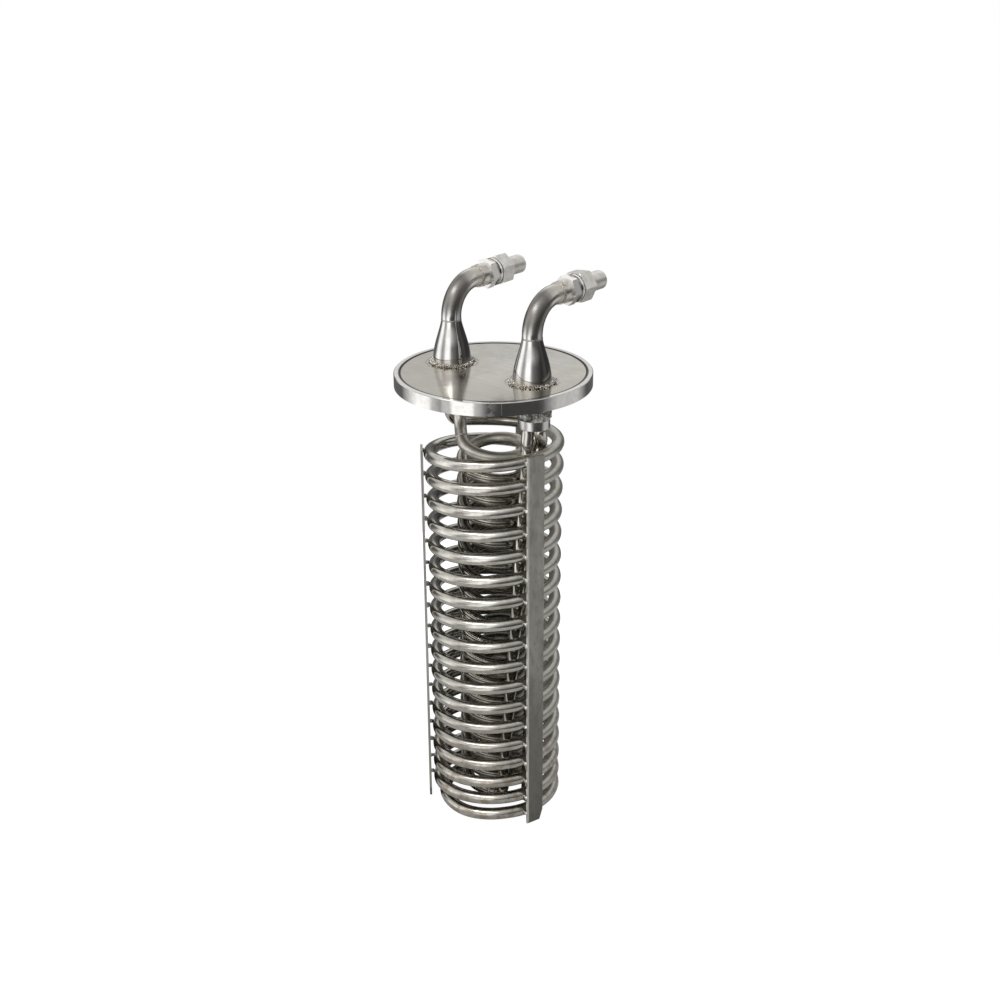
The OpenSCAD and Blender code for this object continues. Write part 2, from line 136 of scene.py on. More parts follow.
def fan(hub: int, first: int, count: int, flip: bool = False) -> Array:
    """Triangles from a hub point to a closed ring of count points.

    Args:
        hub: index of the hub.
        first: index of the ring's first point.
        count: points in the ring.
        flip: whether the faces turn the other way.
    Returns:
        One row of three point indices a triangle.
    """
    k = np.arange(count)
    k2 = (k + 1) % count
    return np.stack([np.full(count, hub), first + (k2 if flip else k), first + (k if flip else k2)], -1)


def polar(r: Array, a: Array, z: Array) -> Array:
    """Points at radius r, angle a in degrees and height z."""
    t = np.radians(a)
    return np.stack(np.broadcast_arrays(r * np.cos(t), r * np.sin(t), z), axis=-1)


def to_polar(p: Array) -> tuple[float, float]:
    """A point's distance from the Z axis, and its angle round it in degrees."""
    return float(np.hypot(p[0], p[1])), math.degrees(math.atan2(p[1], p[0]))


def waves(p: Array, seed: int, size: float, count: int = 14) -> Array:
    """Smooth noise: a mean of sine waves that run in seeded directions.

    Args:
        p: points, the last axis being x, y and z.
        seed: the noise's seed.
        size: length of the middle wave, in the points' own unit.
        count: how many waves are summed.
    Returns:
        One value a point, mostly between -1 and 1.
    """
    rng = np.random.default_rng(seed)
    heading = unit(rng.normal(size=(count, 3)))
    pace = TAU / size * rng.uniform(0.6, 1.7, count)
    start = rng.uniform(0.0, TAU, count)
    return np.sin(p @ (heading * pace[:, None]).T + start).sum(-1) / math.sqrt(count / 2.0)


# ---------------------------------------------------------------- meshes


def grid_quads(rows: int, cols: int, wrap_rows: bool, wrap_cols: bool) -> Array:
    """Quads of a grid of points whose index is row times cols plus column.

    Args:
        rows: number of rows of points.
        cols: number of points in a row.
        wrap_rows: whether the last row joins the first.
        wrap_cols: whether each row is a closed ring.
    Returns:
        One row of four point indices a quad.
    """
    i = np.arange(rows if wrap_rows else rows - 1)[:, None]
    j = np.arange(cols if wrap_cols else cols - 1)[None, :]
    i2, j2 = (i + 1) % rows, (j + 1) % cols
    return np.stack(
        np.broadcast_arrays(i * cols + j, i * cols + j2, i2 * cols + j2, i2 * cols + j), -1
    ).reshape(-1, 4)


@dataclass
class Shell:
    """Points and faces of one closed surface, in millimetres.

    A tube also keeps each point's length along it and how many points go round it.
    """

    points: Array
    quads: Array
    tris: Array = field(default_factory=lambda: np.zeros((0, 3), int))
    along: Array | None = None
    sides: int = 0

    @classmethod
    def tube(cls, path: Array, radius: float, sides: int, out: Array) -> "Shell":
        """A tube with closed ends: a circle carried along a path.

        Each circle is square to the path, and starts from the given outward
        direction less its share along the path.

        Args:
            path: centreline points.
            radius: its outer radius.
            sides: points round the circle.
            out: one outward direction a point.
        Returns:
            The tube, with its length along the path kept for each point.
        """
        t = unit(np.gradient(path, axis=0))
        n = unit(out - (out * t).sum(-1, keepdims=True) * t)
        rings = path[:, None] + radius * circle(sides, n[:, None], np.cross(t, n)[:, None])
        count = len(path)
        steps = np.linalg.norm(np.diff(path, axis=0), axis=1)
        length = np.concatenate([[0.0], np.cumsum(steps)])
        hub = count * sides
        start = fan(hub, 0, sides, True)
        end = fan(hub + 1, hub - sides, sides)
        return cls(
            np.concatenate([rings.reshape(-1, 3), path[:1], path[-1:]]),
            grid_quads(count, sides, False, True),
            np.concatenate([start, end]),
            np.concatenate([np.repeat(length, sides), length[:1], length[-1:]]), sides,
        )

    @classmethod
    def bead(cls, ring: Array, across: Array, up: Array, wide: float, high: float,
             ripple: "Ripple", sides: int = 8) -> "Shell":
        """A closed weld bead: a lumpy ellipse carried round a closed ring.

        The ellipse's size swells and shrinks with the ripple, and its middle
        wanders a little, so that it reads as a row of overlapped puddles.

        Args:
            ring: points of the closed ring.
            across: one sideways direction a point.
            up: one upward direction a point.
            wide: half width along across.
            high: half height along up.
            ripple: how the bead is puddled.
            sides: points round the ellipse.
        Returns:
            The bead.
        """
        count = len(ring)
        turn = np.arange(count) / count
        swell = ripple.swell(turn)
        drift = ripple.drift(ring)
        a = -np.arange(sides) * TAU / sides
        rings = (
            ring[:, None]
            + (wide * (swell[:, None] * np.cos(a) + drift[:, None]))[..., None] * across[:, None]
            + (high * swell[:, None] * np.sin(a))[..., None] * up[:, None]
        )
        grain = ripple.grain * waves(rings, ripple.seed + 5, 1.7)
        rings = rings + grain[..., None] * up[:, None]
        return cls(rings.reshape(-1, 3), grid_quads(count, sides, True, True))

    @classmethod
    def collar(cls, centre: Array, axis: Array, start: Array, radius: float, half: tuple[float, float],
               ripple: "Ripple", count: int) -> "Shell":
        """A closed bead round a pipe.

        Args:
            centre: the ring's middle.
            axis: the pipe's direction there.
            start: a direction square to the axis, where the ring starts.
            radius: radius of the bead's middle line.
            half: half width away from the pipe, and half length along it.
            ripple: how the bead is puddled.
            count: points round the ring.
        Returns:
            The bead.
        """
        out = circle(count, start, np.cross(axis, start))
        up = np.broadcast_to(axis, out.shape)
        return cls.bead(centre + out * radius, out, up, *half, ripple)

    @classmethod
    def lathe(cls, centre: Array, profile: Array, turns: int, rough: float, seed: int,
              size: float = 4.0) -> "Shell":
        """A closed ring: a closed profile of radius and height turned about Z.

        Args:
            centre: the axis' foot.
            profile: closed outline as rows of radius and height, anticlockwise.
            turns: points round the axis.
            rough: how far the noise pushes the surface out and in.
            seed: the noise's seed.
            size: length of the noise.
        Returns:
            The turned ring.
        """
        rings = polar(profile[:, 0], np.arange(turns)[:, None] * 360.0 / turns, profile[:, 1])
        lump = rough * (waves(rings, seed, size) + 0.5 * waves(rings, seed + 1, size / 2.6))
        rings = rings + lump[..., None] * unit(rings * LEVEL)
        return cls((rings + centre).reshape(-1, 3), grid_quads(turns, len(profile), True, True))

    @classmethod
    def pipe(cls, path: Array, normal: Array, outer: float, inner: float, sides: int) -> "Shell":
        """A hollow pipe along a path that lies in one plane.

        Each ring is a circle square to the path. The rings run out along the outer
        wall and back along the bore, so that both ends close.

        Args:
            path: points of the centreline.
            normal: the direction square to the path's plane.
            outer: outer radius.
            inner: radius of the bore.
            sides: points round the pipe.
        Returns:
            The pipe.
        """
        ahead = unit(np.gradient(path, axis=0))
        side = np.broadcast_to(normal, path.shape)
        over = np.cross(ahead, side)
        ring = circle(sides, side[:, None], over[:, None])
        rings = np.concatenate([path[:, None] + outer * ring, (path[:, None] + inner * ring)[::-1]])
        return cls(rings.reshape(-1, 3), grid_quads(len(rings), sides, True, True))

    @classmethod
    def merged(cls, parts: Sequence["Shell"]) -> "Shell":
        """Several shells as one, in order, without any tube's lengths."""
        starts = np.cumsum([0] + [len(s.points) for s in parts])
        return cls(
            np.concatenate([s.points for s in parts]),
            np.concatenate([s.quads + k for s, k in zip(parts, starts)]),
            np.concatenate([s.tris + k for s, k in zip(parts, starts)]),
        )

    def piece(self, name: str, finish: "Finish", slot: Slot,
              stands_for: Sequence[str] = (), body: str = "chiller") -> None:
        """Makes the shell a Blender piece that rides on a body.

        Args:
            name: the piece's name.
            finish: what it is dressed with.
            slot: the record's material slot; not used.
            stands_for: CAD nodes that it replaces.
            body: the CAD body that it rides on.
        """
        mesh = bpy.data.meshes.new(name)
        mesh.from_pydata((self.points * MM).tolist(), [], self.quads.tolist() + self.tris.tolist())
        mesh.polygons.foreach_set("use_smooth", np.ones(len(mesh.polygons), bool))
        if self.sides:
            self._map_round(mesh)
        mesh.update()
        obj = bpy.data.objects.new(name, mesh)
        bpy.context.scene.collection.objects.link(obj)
        mesh.materials.append(finish.material())
        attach(obj, body)
        if stands_for:
            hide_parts(*stands_for)
        LOG.info("%s: %d faces on %s", name, len(mesh.polygons), body)

    def _map_round(self, mesh: bpy.types.Mesh) -> None:
        """UV map: metres along the tube, and the share of a turn round it."""
        corner = np.zeros(len(mesh.loops), np.int32)
        mesh.loops.foreach_get("vertex_index", corner)
        share = (corner % self.sides) / self.sides
        first = np.zeros(len(mesh.polygons), np.int32)
        size = np.zeros(len(mesh.polygons), np.int32)
        mesh.polygons.foreach_get("loop_start", first)
        mesh.polygons.foreach_get("loop_total", size)
        owner = np.repeat(np.arange(len(size)), size)
        top = np.maximum.reduceat(share, first)[owner]
        share = np.where(top - share > 0.5, share + 1.0, share)
        uv = np.stack([self.along[corner] * MM, share], -1)
        layer = mesh.uv_layers.new(name="tube")
        layer.data.foreach_set("uv", uv.ravel().astype(np.float32))


@dataclass(frozen=True)
class Ripple:
    """How a weld bead is puddled: its count of puddles and how rough they are."""

    puddles: int
    depth: float = 0.16
    wander: float = 0.12
    grain: float = 0.12
    seed: int = 1

    def swell(self, turn: Array) -> Array:
        """Size of the bead: one less the depth at each join between puddles.

        Args:
            turn: shares of the way round.
        Returns:
            One size a share.
        """
        phase = turn * self.puddles
        rng = np.random.default_rng(self.seed)
        size = 1.0 + 0.22 * rng.uniform(-1.0, 1.0, self.puddles)
        which = np.floor(phase).astype(int) % self.puddles
        hump = np.abs(np.sin(math.pi * phase)) ** 0.6
        nxt = (which + 1) % self.puddles
        mixed = size[which] + (size[nxt] - size[which]) * smooth(phase % 1.0)
        return mixed * (1.0 - self.depth + self.depth * hump)

    def drift(self, ring: Array) -> Array:
        """How far the bead's middle wanders sideways, in shares of its width."""
        return self.wander * waves(ring, self.seed + 9, 14.0)


# ---------------------------------------------------------------- shader maths


class Val:
    """A shader socket on which the usual operators add Math nodes."""

    def __init__(self, graph: "Tree", socket: bpy.types.NodeSocket) -> None:
        """Wraps a socket of a graph."""
        self.graph, self.socket = graph, socket

    def _math(self, operation: str, *args: "Val | float") -> "Val":
        """A Math node of that operation on the given values."""
        return self.graph.node("ShaderNodeMath", {"operation": operation}, dict(enumerate(args)))

    def __add__(self, o: "Val | float") -> "Val":
        """Sum."""
        return self._math("ADD", self, o)

    def __radd__(self, o: float) -> "Val":
        """Sum, reflected."""
        return self._math("ADD", o, self)

    def __sub__(self, o: "Val | float") -> "Val":
        """Difference."""
        return self._math("SUBTRACT", self, o)

    def __rsub__(self, o: float) -> "Val":
        """Difference, reflected."""
        return self._math("SUBTRACT", o, self)

    def __mul__(self, o: "Val | float") -> "Val":
        """Product."""
        return self._math("MULTIPLY", self, o)

    def __rmul__(self, o: float) -> "Val":
        """Product, reflected."""
        return self._math("MULTIPLY", o, self)

    def __truediv__(self, o: "Val | float") -> "Val":
        """Quotient."""
        return self._math("DIVIDE", self, o)

    def __neg__(self) -> "Val":
        """Negative."""
        return self._math("MULTIPLY", self, -1.0)

    def fn(self, operation: str, *args: "Val | float") -> "Val":
        """Any other Math operation, such as SINE or ABSOLUTE."""
        return self._math(operation, self, *args)

    def step(self, low: float, high: float) -> "Val":
        """Eases from 0 at low to 1 at high."""
        inputs = {"Value": self, "From Min": low, "From Max": high}
        kind = {"interpolation_type": "SMOOTHSTEP"}
        return self.graph.node("ShaderNodeMapRange", kind, inputs)

    def fade(self, low: float, high: float) -> "Val":
        """Eases from 1 at low to 0 at high."""
        return 1.0 - self.step(low, high)

    def band(self, a: float, b: float, c: float, d: float) -> "Val":
        """Eases from 0 at a to 1 at b, and from 1 at c back to 0 at d."""
        return self.step(a, b) * self.fade(c, d)

    def bump(self, middle: float, width: float) -> "Val":
        """A smooth hump, 1 at middle and 0 beyond the width."""
        return ((self - middle).fn("ABSOLUTE") / width).fade(0.0, 1.0)


class Tree:
    """A node tree that hands out wrapped nodes."""

    def __init__(self, tree: bpy.types.NodeTree) -> None:
        """Wraps a node tree."""
        self.tree = tree

    def node(self, kind: str, settings: dict[str, Any] | None = None,
             inputs: dict[Any, Any] | None = None, output: int | str = 0) -> Val:
        """Adds any node: its settings first, then the values or links of its sockets.

        Args:
            kind: the node's type.
            settings: its own properties, or a ramp's stops under "stops".
            inputs: values or links by the socket's index or name.
            output: which output is wrapped.
        Returns:
            The wrapped output.
        """
        node = self.tree.nodes.new(kind)
        for key, value in (settings or {}).items():
            if key == "stops":
                self._fill_ramp(node.color_ramp, value)
            else:
                setattr(node, key, value)
        for key, value in (inputs or {}).items():
            self.feed(node.inputs[key], value)
        return Val(self, node.outputs[output])

    def _fill_ramp(self, ramp: bpy.types.ColorRamp, stops: Sequence[tuple[float, Colour]]) -> None:
        """Gives a colour ramp its stops, each a place and a colour."""
        while len(ramp.elements) < len(stops):
            ramp.elements.new(0.5)
        for element, (place, tint) in zip(ramp.elements, stops):
            element.position, element.color = place, (*tint, 1.0)

    def feed(self, socket: bpy.types.NodeSocket, value: Any) -> None:
        """Links a wrapped or bare socket, or sets a plain value."""
        if isinstance(value, Val):
            self.tree.links.new(value.socket, socket)
        elif isinstance(value, bpy.types.NodeSocket):
            self.tree.links.new(value, socket)
        else:
            fits = isinstance(value, tuple) and len(value) == 3 and socket.type == "RGBA"
            socket.default_value = (*value, 1.0) if fits else value

    def split(self, vector: "Val | bpy.types.NodeSocket") -> list[Val]:
        """The three parts of a vector."""
        node = self.tree.nodes.new("ShaderNodeSeparateXYZ")
        self.feed(node.inputs[0], vector)
        return [Val(self, socket) for socket in node.outputs]

    def mix(self, share: Val | float, a: Val | Colour, b: Val | Colour) -> Val:
        """A colour between a and b."""
        return self.node("ShaderNodeMix", {"data_type": "RGBA"}, {0: share, 6: a, 7: b}, 2)

    def ramp(self, share: Val, stops: Sequence[tuple[float, Colour]]) -> Val:
        """A colour from a ramp of places and colours."""
        return self.node("ShaderNodeValToRGB", {"stops": stops}, {0: share})

    def ray(self, kind: str) -> Val:
        """One of Light Path's outputs, 1 on rays of that kind."""
        return self.node("ShaderNodeLightPath", None, None, kind)


class Graph(Tree):
    """One material's node tree with its shader and Object coordinates in millimetres."""

    def __init__(self, name: str) -> None:
        """Starts an empty material of that name."""
        self.material = bpy.data.materials.new(name)
        self.material.use_nodes = True
        super().__init__(self.material.node_tree)
        self.shader = self.tree.nodes["Principled BSDF"]
        place = self.node("ShaderNodeTexCoord", None, None, "Object")
        self.place = self.node(
            "ShaderNodeVectorMath", {"operation": "SCALE"}, {0: place, "Scale": 1.0 / MM}
        )
        self.x, self.y, self.z = self.split(self.place)

    def noise(self, size: float, detail: float = 3.0, squash: Triple = (1.0, 1.0, 1.0),
              rough: float = 0.55, where: Val | None = None) -> Val:
        """Noise from 0 to 1 whose blobs are about that many millimetres across.

        Args:
            size: size of the blobs.
            detail: octaves.
            squash: how much denser the noise is along each axis.
            rough: share of the finer octaves.
            where: other coordinates than the piece's own.
        Returns:
            The noise.
        """
        scaled = self.node(
            "ShaderNodeMapping", {"vector_type": "POINT"},
            {"Vector": where or self.place, "Scale": squash},
        )
        return self.node(
            "ShaderNodeTexNoise", None,
            {"Vector": scaled, "Scale": 1.0 / size, "Detail": detail, "Roughness": rough},
        )

    def cells(self, size: float) -> Val:
        """Distance to the nearest of many scattered points, for pits and specks."""
        return self.node("ShaderNodeTexVoronoi", None, {"Vector": self.place, "Scale": 1.0 / size})

    def toward(self, x: float, y: float) -> Val:
        """Distance from the middle along a level direction."""
        return self.x * x + self.y * y

    def from_axis(self, x: float, y: float) -> Val:
        """Distance from an upright axis through x and y."""
        dx, dy = self.x - x, self.y - y
        return (dx * dx + dy * dy).fn("SQRT")

    def from_point(self, x: float, y: float, z: float) -> Val:
        """Distance from a point."""
        dx, dy, dz = self.x - x, self.y - y, self.z - z
        return (dx * dx + dy * dy + dz * dz).fn("SQRT")

    def relief(self, height: Val, depth: float) -> None:
        """Feeds a height, of that many millimetres, to the shader's normal."""
        inputs = {"Height": height, "Distance": depth * MM, "Strength": 1.0}
        self.feed(self.shader.inputs["Normal"], self.node("ShaderNodeBump", None, inputs))

    def tone(self, share: Val, dull: Colour, pale: Colour) -> None:
        """Starts the colour: dull where the share is 0, pale where it is 1."""
        self.colour = self.mix(share, dull, pale)

    def coat(self, share: Val, tint: Val | Colour) -> None:
        """Lays a tint over the colour so far."""
        self.colour = self.mix(share, self.colour, tint)

    def wear(self, rough: Val | float, metal: Val | float = 1.0) -> bpy.types.Material:
        """Closes the material with its colour, its roughness and its share of bare metal."""
        self.feed(self.shader.inputs["Metallic"], metal)
        self.feed(self.shader.inputs["Base Color"], self.colour)
        self.feed(self.shader.inputs["Roughness"], rough)
        return self.material


# ---------------------------------------------------------------- finishes

STRAW: Colour = (0.60, 0.53, 0.42)
BROWN: Colour = (0.34, 0.28, 0.22)
# Paler tone painted as light on the lit top of a tube.
FRESH: Colour = (0.68, 0.66, 0.61)
# Tone of the painted shade on the tubes' inward faces.
SOOT: Colour = (0.17, 0.16, 0.135)


@dataclass(frozen=True)
class Finish:
    """A stainless finish: its tones, its gloss and the scale of its grain."""

    name: str
    pale: Colour = (0.66, 0.65, 0.62)
    dull: Colour = (0.50, 0.49, 0.46)
    rough: float = 0.2
    spread: float = 0.1
    cloud: float = 14.0
    grain: float = 0.02

    def material(self) -> bpy.types.Material:
        """The finish's material, made once."""
        known = bpy.data.materials.get(self.name)
        return known or self.build(Graph(self.name))

    def build(self, g: Graph) -> bpy.types.Material:
        """Clouded tone, fine scratches in two directions and a little relief.

        Args:
            g: the graph to fill.
        Returns:
            The finished material.
        """
        cloud = g.noise(self.cloud, 4.0)
        scratch = g.noise(2.0, 2.0, (1.0, 1.0, 9.0))
        g.tone(cloud.step(0.3, 0.7), self.dull, self.pale)
        rough = self.rough + self.spread * (cloud - 0.5) + 0.5 * self.spread * (scratch - 0.5)
        g.relief(scratch + cloud, self.grain)
        return g.wear(rough)


@dataclass(frozen=True)
class PlateFinish(Finish):
    """Brushed lid plate with heat rings round both reducers, painted shade on its left and front parts,
    and a painted shade line in the groove at its edge.
    """

    ring: float = 29.0
    groove_r: float = 116.2

    def build(self, g: Graph) -> bpy.types.Material:
        """Long brush lines along X, smudges, and straw to blue rings at the ports, with painted shade:
        darker to the left and to the front, and a dark line in the groove by the rim.
        """
        lines = g.noise(0.9, 3.0, (0.02, 1.0, 1.0), 0.7)
        wide = g.noise(5.0, 3.0, (0.05, 1.0, 1.0), 0.6)
        smudge = g.noise(26.0, 4.0, (1.0, 1.0, 1.0), 0.6)
        g.tone(smudge.step(0.32, 0.7), self.dull, self.pale)
        g.coat((lines * 0.5 + wide * 0.5).step(0.3, 0.75) * 0.5, (0.42, 0.41, 0.38))
        # Painted shade: the plate is darker and warmer towards its left side as seen from the front.
        worn = (g.toward(0.76, 0.65) + (smudge - 0.5) * 90.0).fade(-95.0, 10.0)
        g.coat(worn * 0.4, (0.36, 0.33, 0.27))
        # Painted shade: the part of the plate nearest the front is darker.
        ahead = (g.toward(0.65, -0.76) + (smudge - 0.5) * 40.0).step(10.0, 90.0)
        g.coat(ahead * 0.45, (0.40, 0.375, 0.32))
        left, right = g.from_axis(-PORT_X, PORT_Y), g.from_axis(PORT_X, PORT_Y)
        near = left.fn("MINIMUM", right) + (g.noise(9.0, 3.0) - 0.5) * 7.0
        heat = g.ramp(near / 60.0, [
            (0.0, BROWN), (0.50, (0.40, 0.34, 0.27)), (0.56, (0.44, 0.43, 0.43)), (0.66, STRAW),
            (0.85, (0.60, 0.57, 0.50)),
        ])
        g.coat(near.fade(self.ring, self.ring + 20.0) * 0.45, heat)
        specks = g.cells(3.1).fade(0.05, 0.13)
        g.coat(specks * 0.5, (0.3, 0.29, 0.27))
        patch = (g.from_point(-20.0, 62.0, 16.0) + (smudge - 0.5) * 60.0).fade(16.0, 34.0)
        mottle = patch * g.noise(5.0, 4.0, rough=0.7).step(0.42, 0.6)
        g.coat(mottle * 0.4, (0.40, 0.39, 0.36))
        spatter = g.noise(1.6, 3.0, rough=0.7) * near.fade(self.ring + 1.0, self.ring + 9.0)
        g.coat(spatter.step(0.46, 0.54) * 0.5, (0.80, 0.77, 0.70))
        g.coat(spatter.bump(0.36, 0.09) * 0.8, (0.13, 0.115, 0.09))
        # Painted shade: a dark ring at the plate's edge, where the groove by the rim lies in shade.
        rim = g.from_axis(0.0, 0.0).step(self.groove_r - 0.5, self.groove_r)
        g.coat(rim, (0.07, 0.055, 0.045))
        rough = self.rough + self.spread * (lines - 0.5) + 0.12 * (smudge - 0.5) + rim * 0.3
        g.relief(lines + 0.6 * wide, self.grain)
        return g.wear(rough)


@dataclass(frozen=True)
class RimFinish(Finish):
    """Polished rim with a butt joint, its mottled patch and a line of painted shade along its inner
    edge.
    """

    joint: float = -45.4
    lip_r: float = 119.0
    lip_z: float = 16.2

    def build(self, g: Graph) -> bpy.types.Material:
        """Faint turning lines, a thin seam, heat mottle beside it, and a dark line of painted shade at
        the inner lip.
        """
        turned = g.noise(0.7, 2.0, (0.05, 0.05, 1.0))
        blotch = g.noise(6.0, 4.0)
        off = (g.y.fn("ARCTAN2", g.x) - math.radians(self.joint)) * RIM_R
        seam = off.bump(0.0, 0.8) * g.z.step(0.5, 1.5)
        patch = (off + 13.0).bump(0.0, 16.0) * blotch.step(0.36, 0.6)
        g.tone(blotch.step(0.35, 0.7), self.dull, self.pale)
        g.coat(patch * 0.6, (0.36, 0.35, 0.33))
        g.coat(seam * 0.7, (0.75, 0.70, 0.66))
        # Painted shade: a dark line along the rim's inner top edge, where the groove lies in shade. It
        # is drawn wider on the side towards the front and right.
        front = g.toward(0.766, -0.643).step(0.86 * RIM_R, 0.97 * RIM_R)
        reach = g.from_axis(0.0, 0.0) - front * 3.6
        lip = reach.fade(self.lip_r, self.lip_r + 0.7) * g.z.step(self.lip_z, self.lip_z + 0.6)
        g.coat(lip * 0.9, (0.07, 0.06, 0.05))
        rough = self.rough + self.spread * (turned - 0.5) + patch * 0.25 + seam * 0.3 + lip * 0.2
        g.relief(turned * 0.4 - seam + patch * blotch, self.grain)
        return g.wear(rough)


@dataclass(frozen=True)
class NeckFinish(Finish):
    """Mirror-polished gooseneck with heat tint at both ends of the elbow, and painted shade on its right
    side and its crown.
    """

    def build(self, g: Graph) -> bpy.types.Material:
        """Polish lines, painted shade on the right side, a dark crown of heat tint and painted shade, a
        burnt end at the union and straw at the foot.
        """
        polish = g.noise(1.4, 2.0, (1.0, 1.0, 0.06))
        cloud = g.noise(11.0, 4.0)
        g.tone(cloud.step(0.3, 0.75), self.dull, self.pale)
        wander = (g.noise(7.0, 3.0) - 0.5) * 8.0
        along = g.y + wander
        off = g.x - g.x.fn("SIGN") * PORT_X
        # Painted shade: the upright part is darker on its right-hand side as seen from the front.
        shade = (off * 0.763 + (g.y - PORT_Y) * 0.647).step(5.0, 10.5)
        upright = g.z.fade(AXIS_Z - 34.0, AXIS_Z - 20.0)
        g.coat(shade * upright * 0.7, (0.22, 0.21, 0.20))
        high = g.z.step(AXIS_Z - 32.0, AXIS_Z - 10.0)
        # The dark crown of the bend is partly heat tint and partly painted shade that dims the overhead
        # reflection.
        crown = g.z.step(AXIS_Z - 46.0, AXIS_Z - 24.0) * along.fade(SEAM_Y - 34.0, SEAM_Y - 18.0)
        g.coat(crown * 0.85, (0.17, 0.155, 0.14))
        end = along.step(SEAM_Y - 24.0, SEAM_Y - 8.0) * high
        g.coat(end * 0.9, g.mix(cloud, (0.52, 0.49, 0.43), (0.72, 0.69, 0.62)))
        burn = g.noise(3.5, 4.0, rough=0.65).step(0.5, 0.62) * g.y.step(SEAM_Y - 8.0, SEAM_Y)
        g.coat(burn * 0.6, BROWN)
        fringe = along.bump(SEAM_Y - 20.0, 7.0) * high
        g.coat(fringe * 0.45, STRAW)
        foot = (g.z + wander * 0.4).fade(PLATE_TOP, PLATE_TOP + 12.0)
        g.coat(foot * 0.5, STRAW)
        ring = (g.z + wander * 0.1).bump(SEAM_Z, 2.2)
        g.coat(ring * 0.35, (0.5, 0.46, 0.40))
        rough = self.rough + self.spread * (polish - 0.5) + crown * 0.28 + end * 0.28 + foot * 0.08
        g.relief(polish + 2.0 * cloud, self.grain)
        return g.wear(rough, 1.0 - 0.25 * end)


@dataclass(frozen=True)
class UnionFinish(Finish):
    """Turned union body: satin collar, hexagon and lip painted bright as highlights, a band of painted
    dark reflection between them, cut thread.
    """

    hex_from: float = SEAM_Y + 14.0
    hex_end: float = 70.5
    thread_from: float = 77.0
    pitch: float = 2.0

    def build(self, g: Graph) -> bpy.types.Material:
        """Rings of turning marks, a pinkish collar, painted highlights on the hexagon and the lip, a
        painted dark band before the lip, and a helix of painted shade on the thread.
        """
        turned = g.noise(0.5, 2.0, (0.08, 1.0, 0.08))
        cloud = g.noise(8.0, 4.0)
        on_collar = g.y.fade(self.hex_from - 0.6, self.hex_from)
        g.tone(cloud.step(0.3, 0.7), self.dull, self.pale)
        warm = g.mix(g.noise(5.0, 3.0).step(0.35, 0.65), (0.60, 0.54, 0.49), (0.76, 0.73, 0.68))
        g.coat(on_collar * 0.85, warm)
        burn = g.noise(3.2, 4.0, rough=0.65).step(0.5, 0.6) * g.y.fade(SEAM_Y + 2.0, SEAM_Y + 7.0)
        g.coat(burn * 0.6, BROWN)
        # Painted highlight: the hexagon is painted near white and less metallic so that its facets read
        # bright.
        hexagon = g.y.band(self.hex_from - 0.1, self.hex_from + 0.1, self.hex_end - 0.2, self.hex_end)
        g.coat(hexagon * 0.8, (0.90, 0.89, 0.86))
        end = self.hex_end
        # Painted dark reflection: the polished band after the hexagon is painted dark.
        sooty = g.y.band(end - 0.1, end + 0.1, end + 3.6, end + 3.9)
        dark = g.mix(cloud.step(0.42, 0.58), (0.13, 0.12, 0.105), (0.50, 0.48, 0.44))
        g.coat(sooty * 0.9, dark)
        # Painted highlight: the lip before the thread is painted near white as a bright ring.
        lip = g.y.band(end + 3.7, end + 4.0, self.thread_from - 0.1, self.thread_from)
        g.coat(lip, (0.97, 0.96, 0.94))
        # Painted shade: the thread's grooves are darkened along the helix.
        turn = (g.z - AXIS_Z).fn("ARCTAN2", g.x.fn("ABSOLUTE") - PORT_X)
        helix = ((g.y / self.pitch + turn / TAU) * TAU).fn("SINE")
        cut = g.y.step(self.thread_from, self.thread_from + 0.3)
        g.coat(cut * (0.5 - helix * 0.5) * 0.6, (0.16, 0.15, 0.14))
        rough = self.rough + self.spread * (turned - 0.5) + on_collar * 0.16 + cut * 0.1
        g.relief(turned * 0.15 + helix * cut * 3.0, 0.12)
        return g.wear(rough, 1.0 - 0.35 * hexagon - 0.5 * lip)


@dataclass(frozen=True)
class CastFinish(Finish):
    """Matte pickled nut and stub with faint milling and scuffed corners."""

    metal: float = 0.65

    def build(self, g: Graph) -> bpy.types.Material:
        """Fine sandy grain, soft clouds and a few scuffs."""
        sand = g.noise(0.5, 3.0, rough=0.7)
        cloud = g.noise(9.0, 4.0)
        mill = g.noise(1.2, 2.0, (0.15, 1.6, 0.15))
        scuff = g.noise(3.0, 5.0, (1.0, 0.4, 1.0), 0.7).step(0.58, 0.72)
        g.tone(cloud.step(0.3, 0.7), self.dull, self.pale)
        g.coat(scuff * 0.35, (0.45, 0.43, 0.39))
        rough = self.rough + self.spread * (sand - 0.5) - scuff * 0.08 + 0.06 * (mill - 0.5)
        g.relief(sand + mill * 0.6 - scuff, self.grain)
        return g.wear(rough, self.metal)


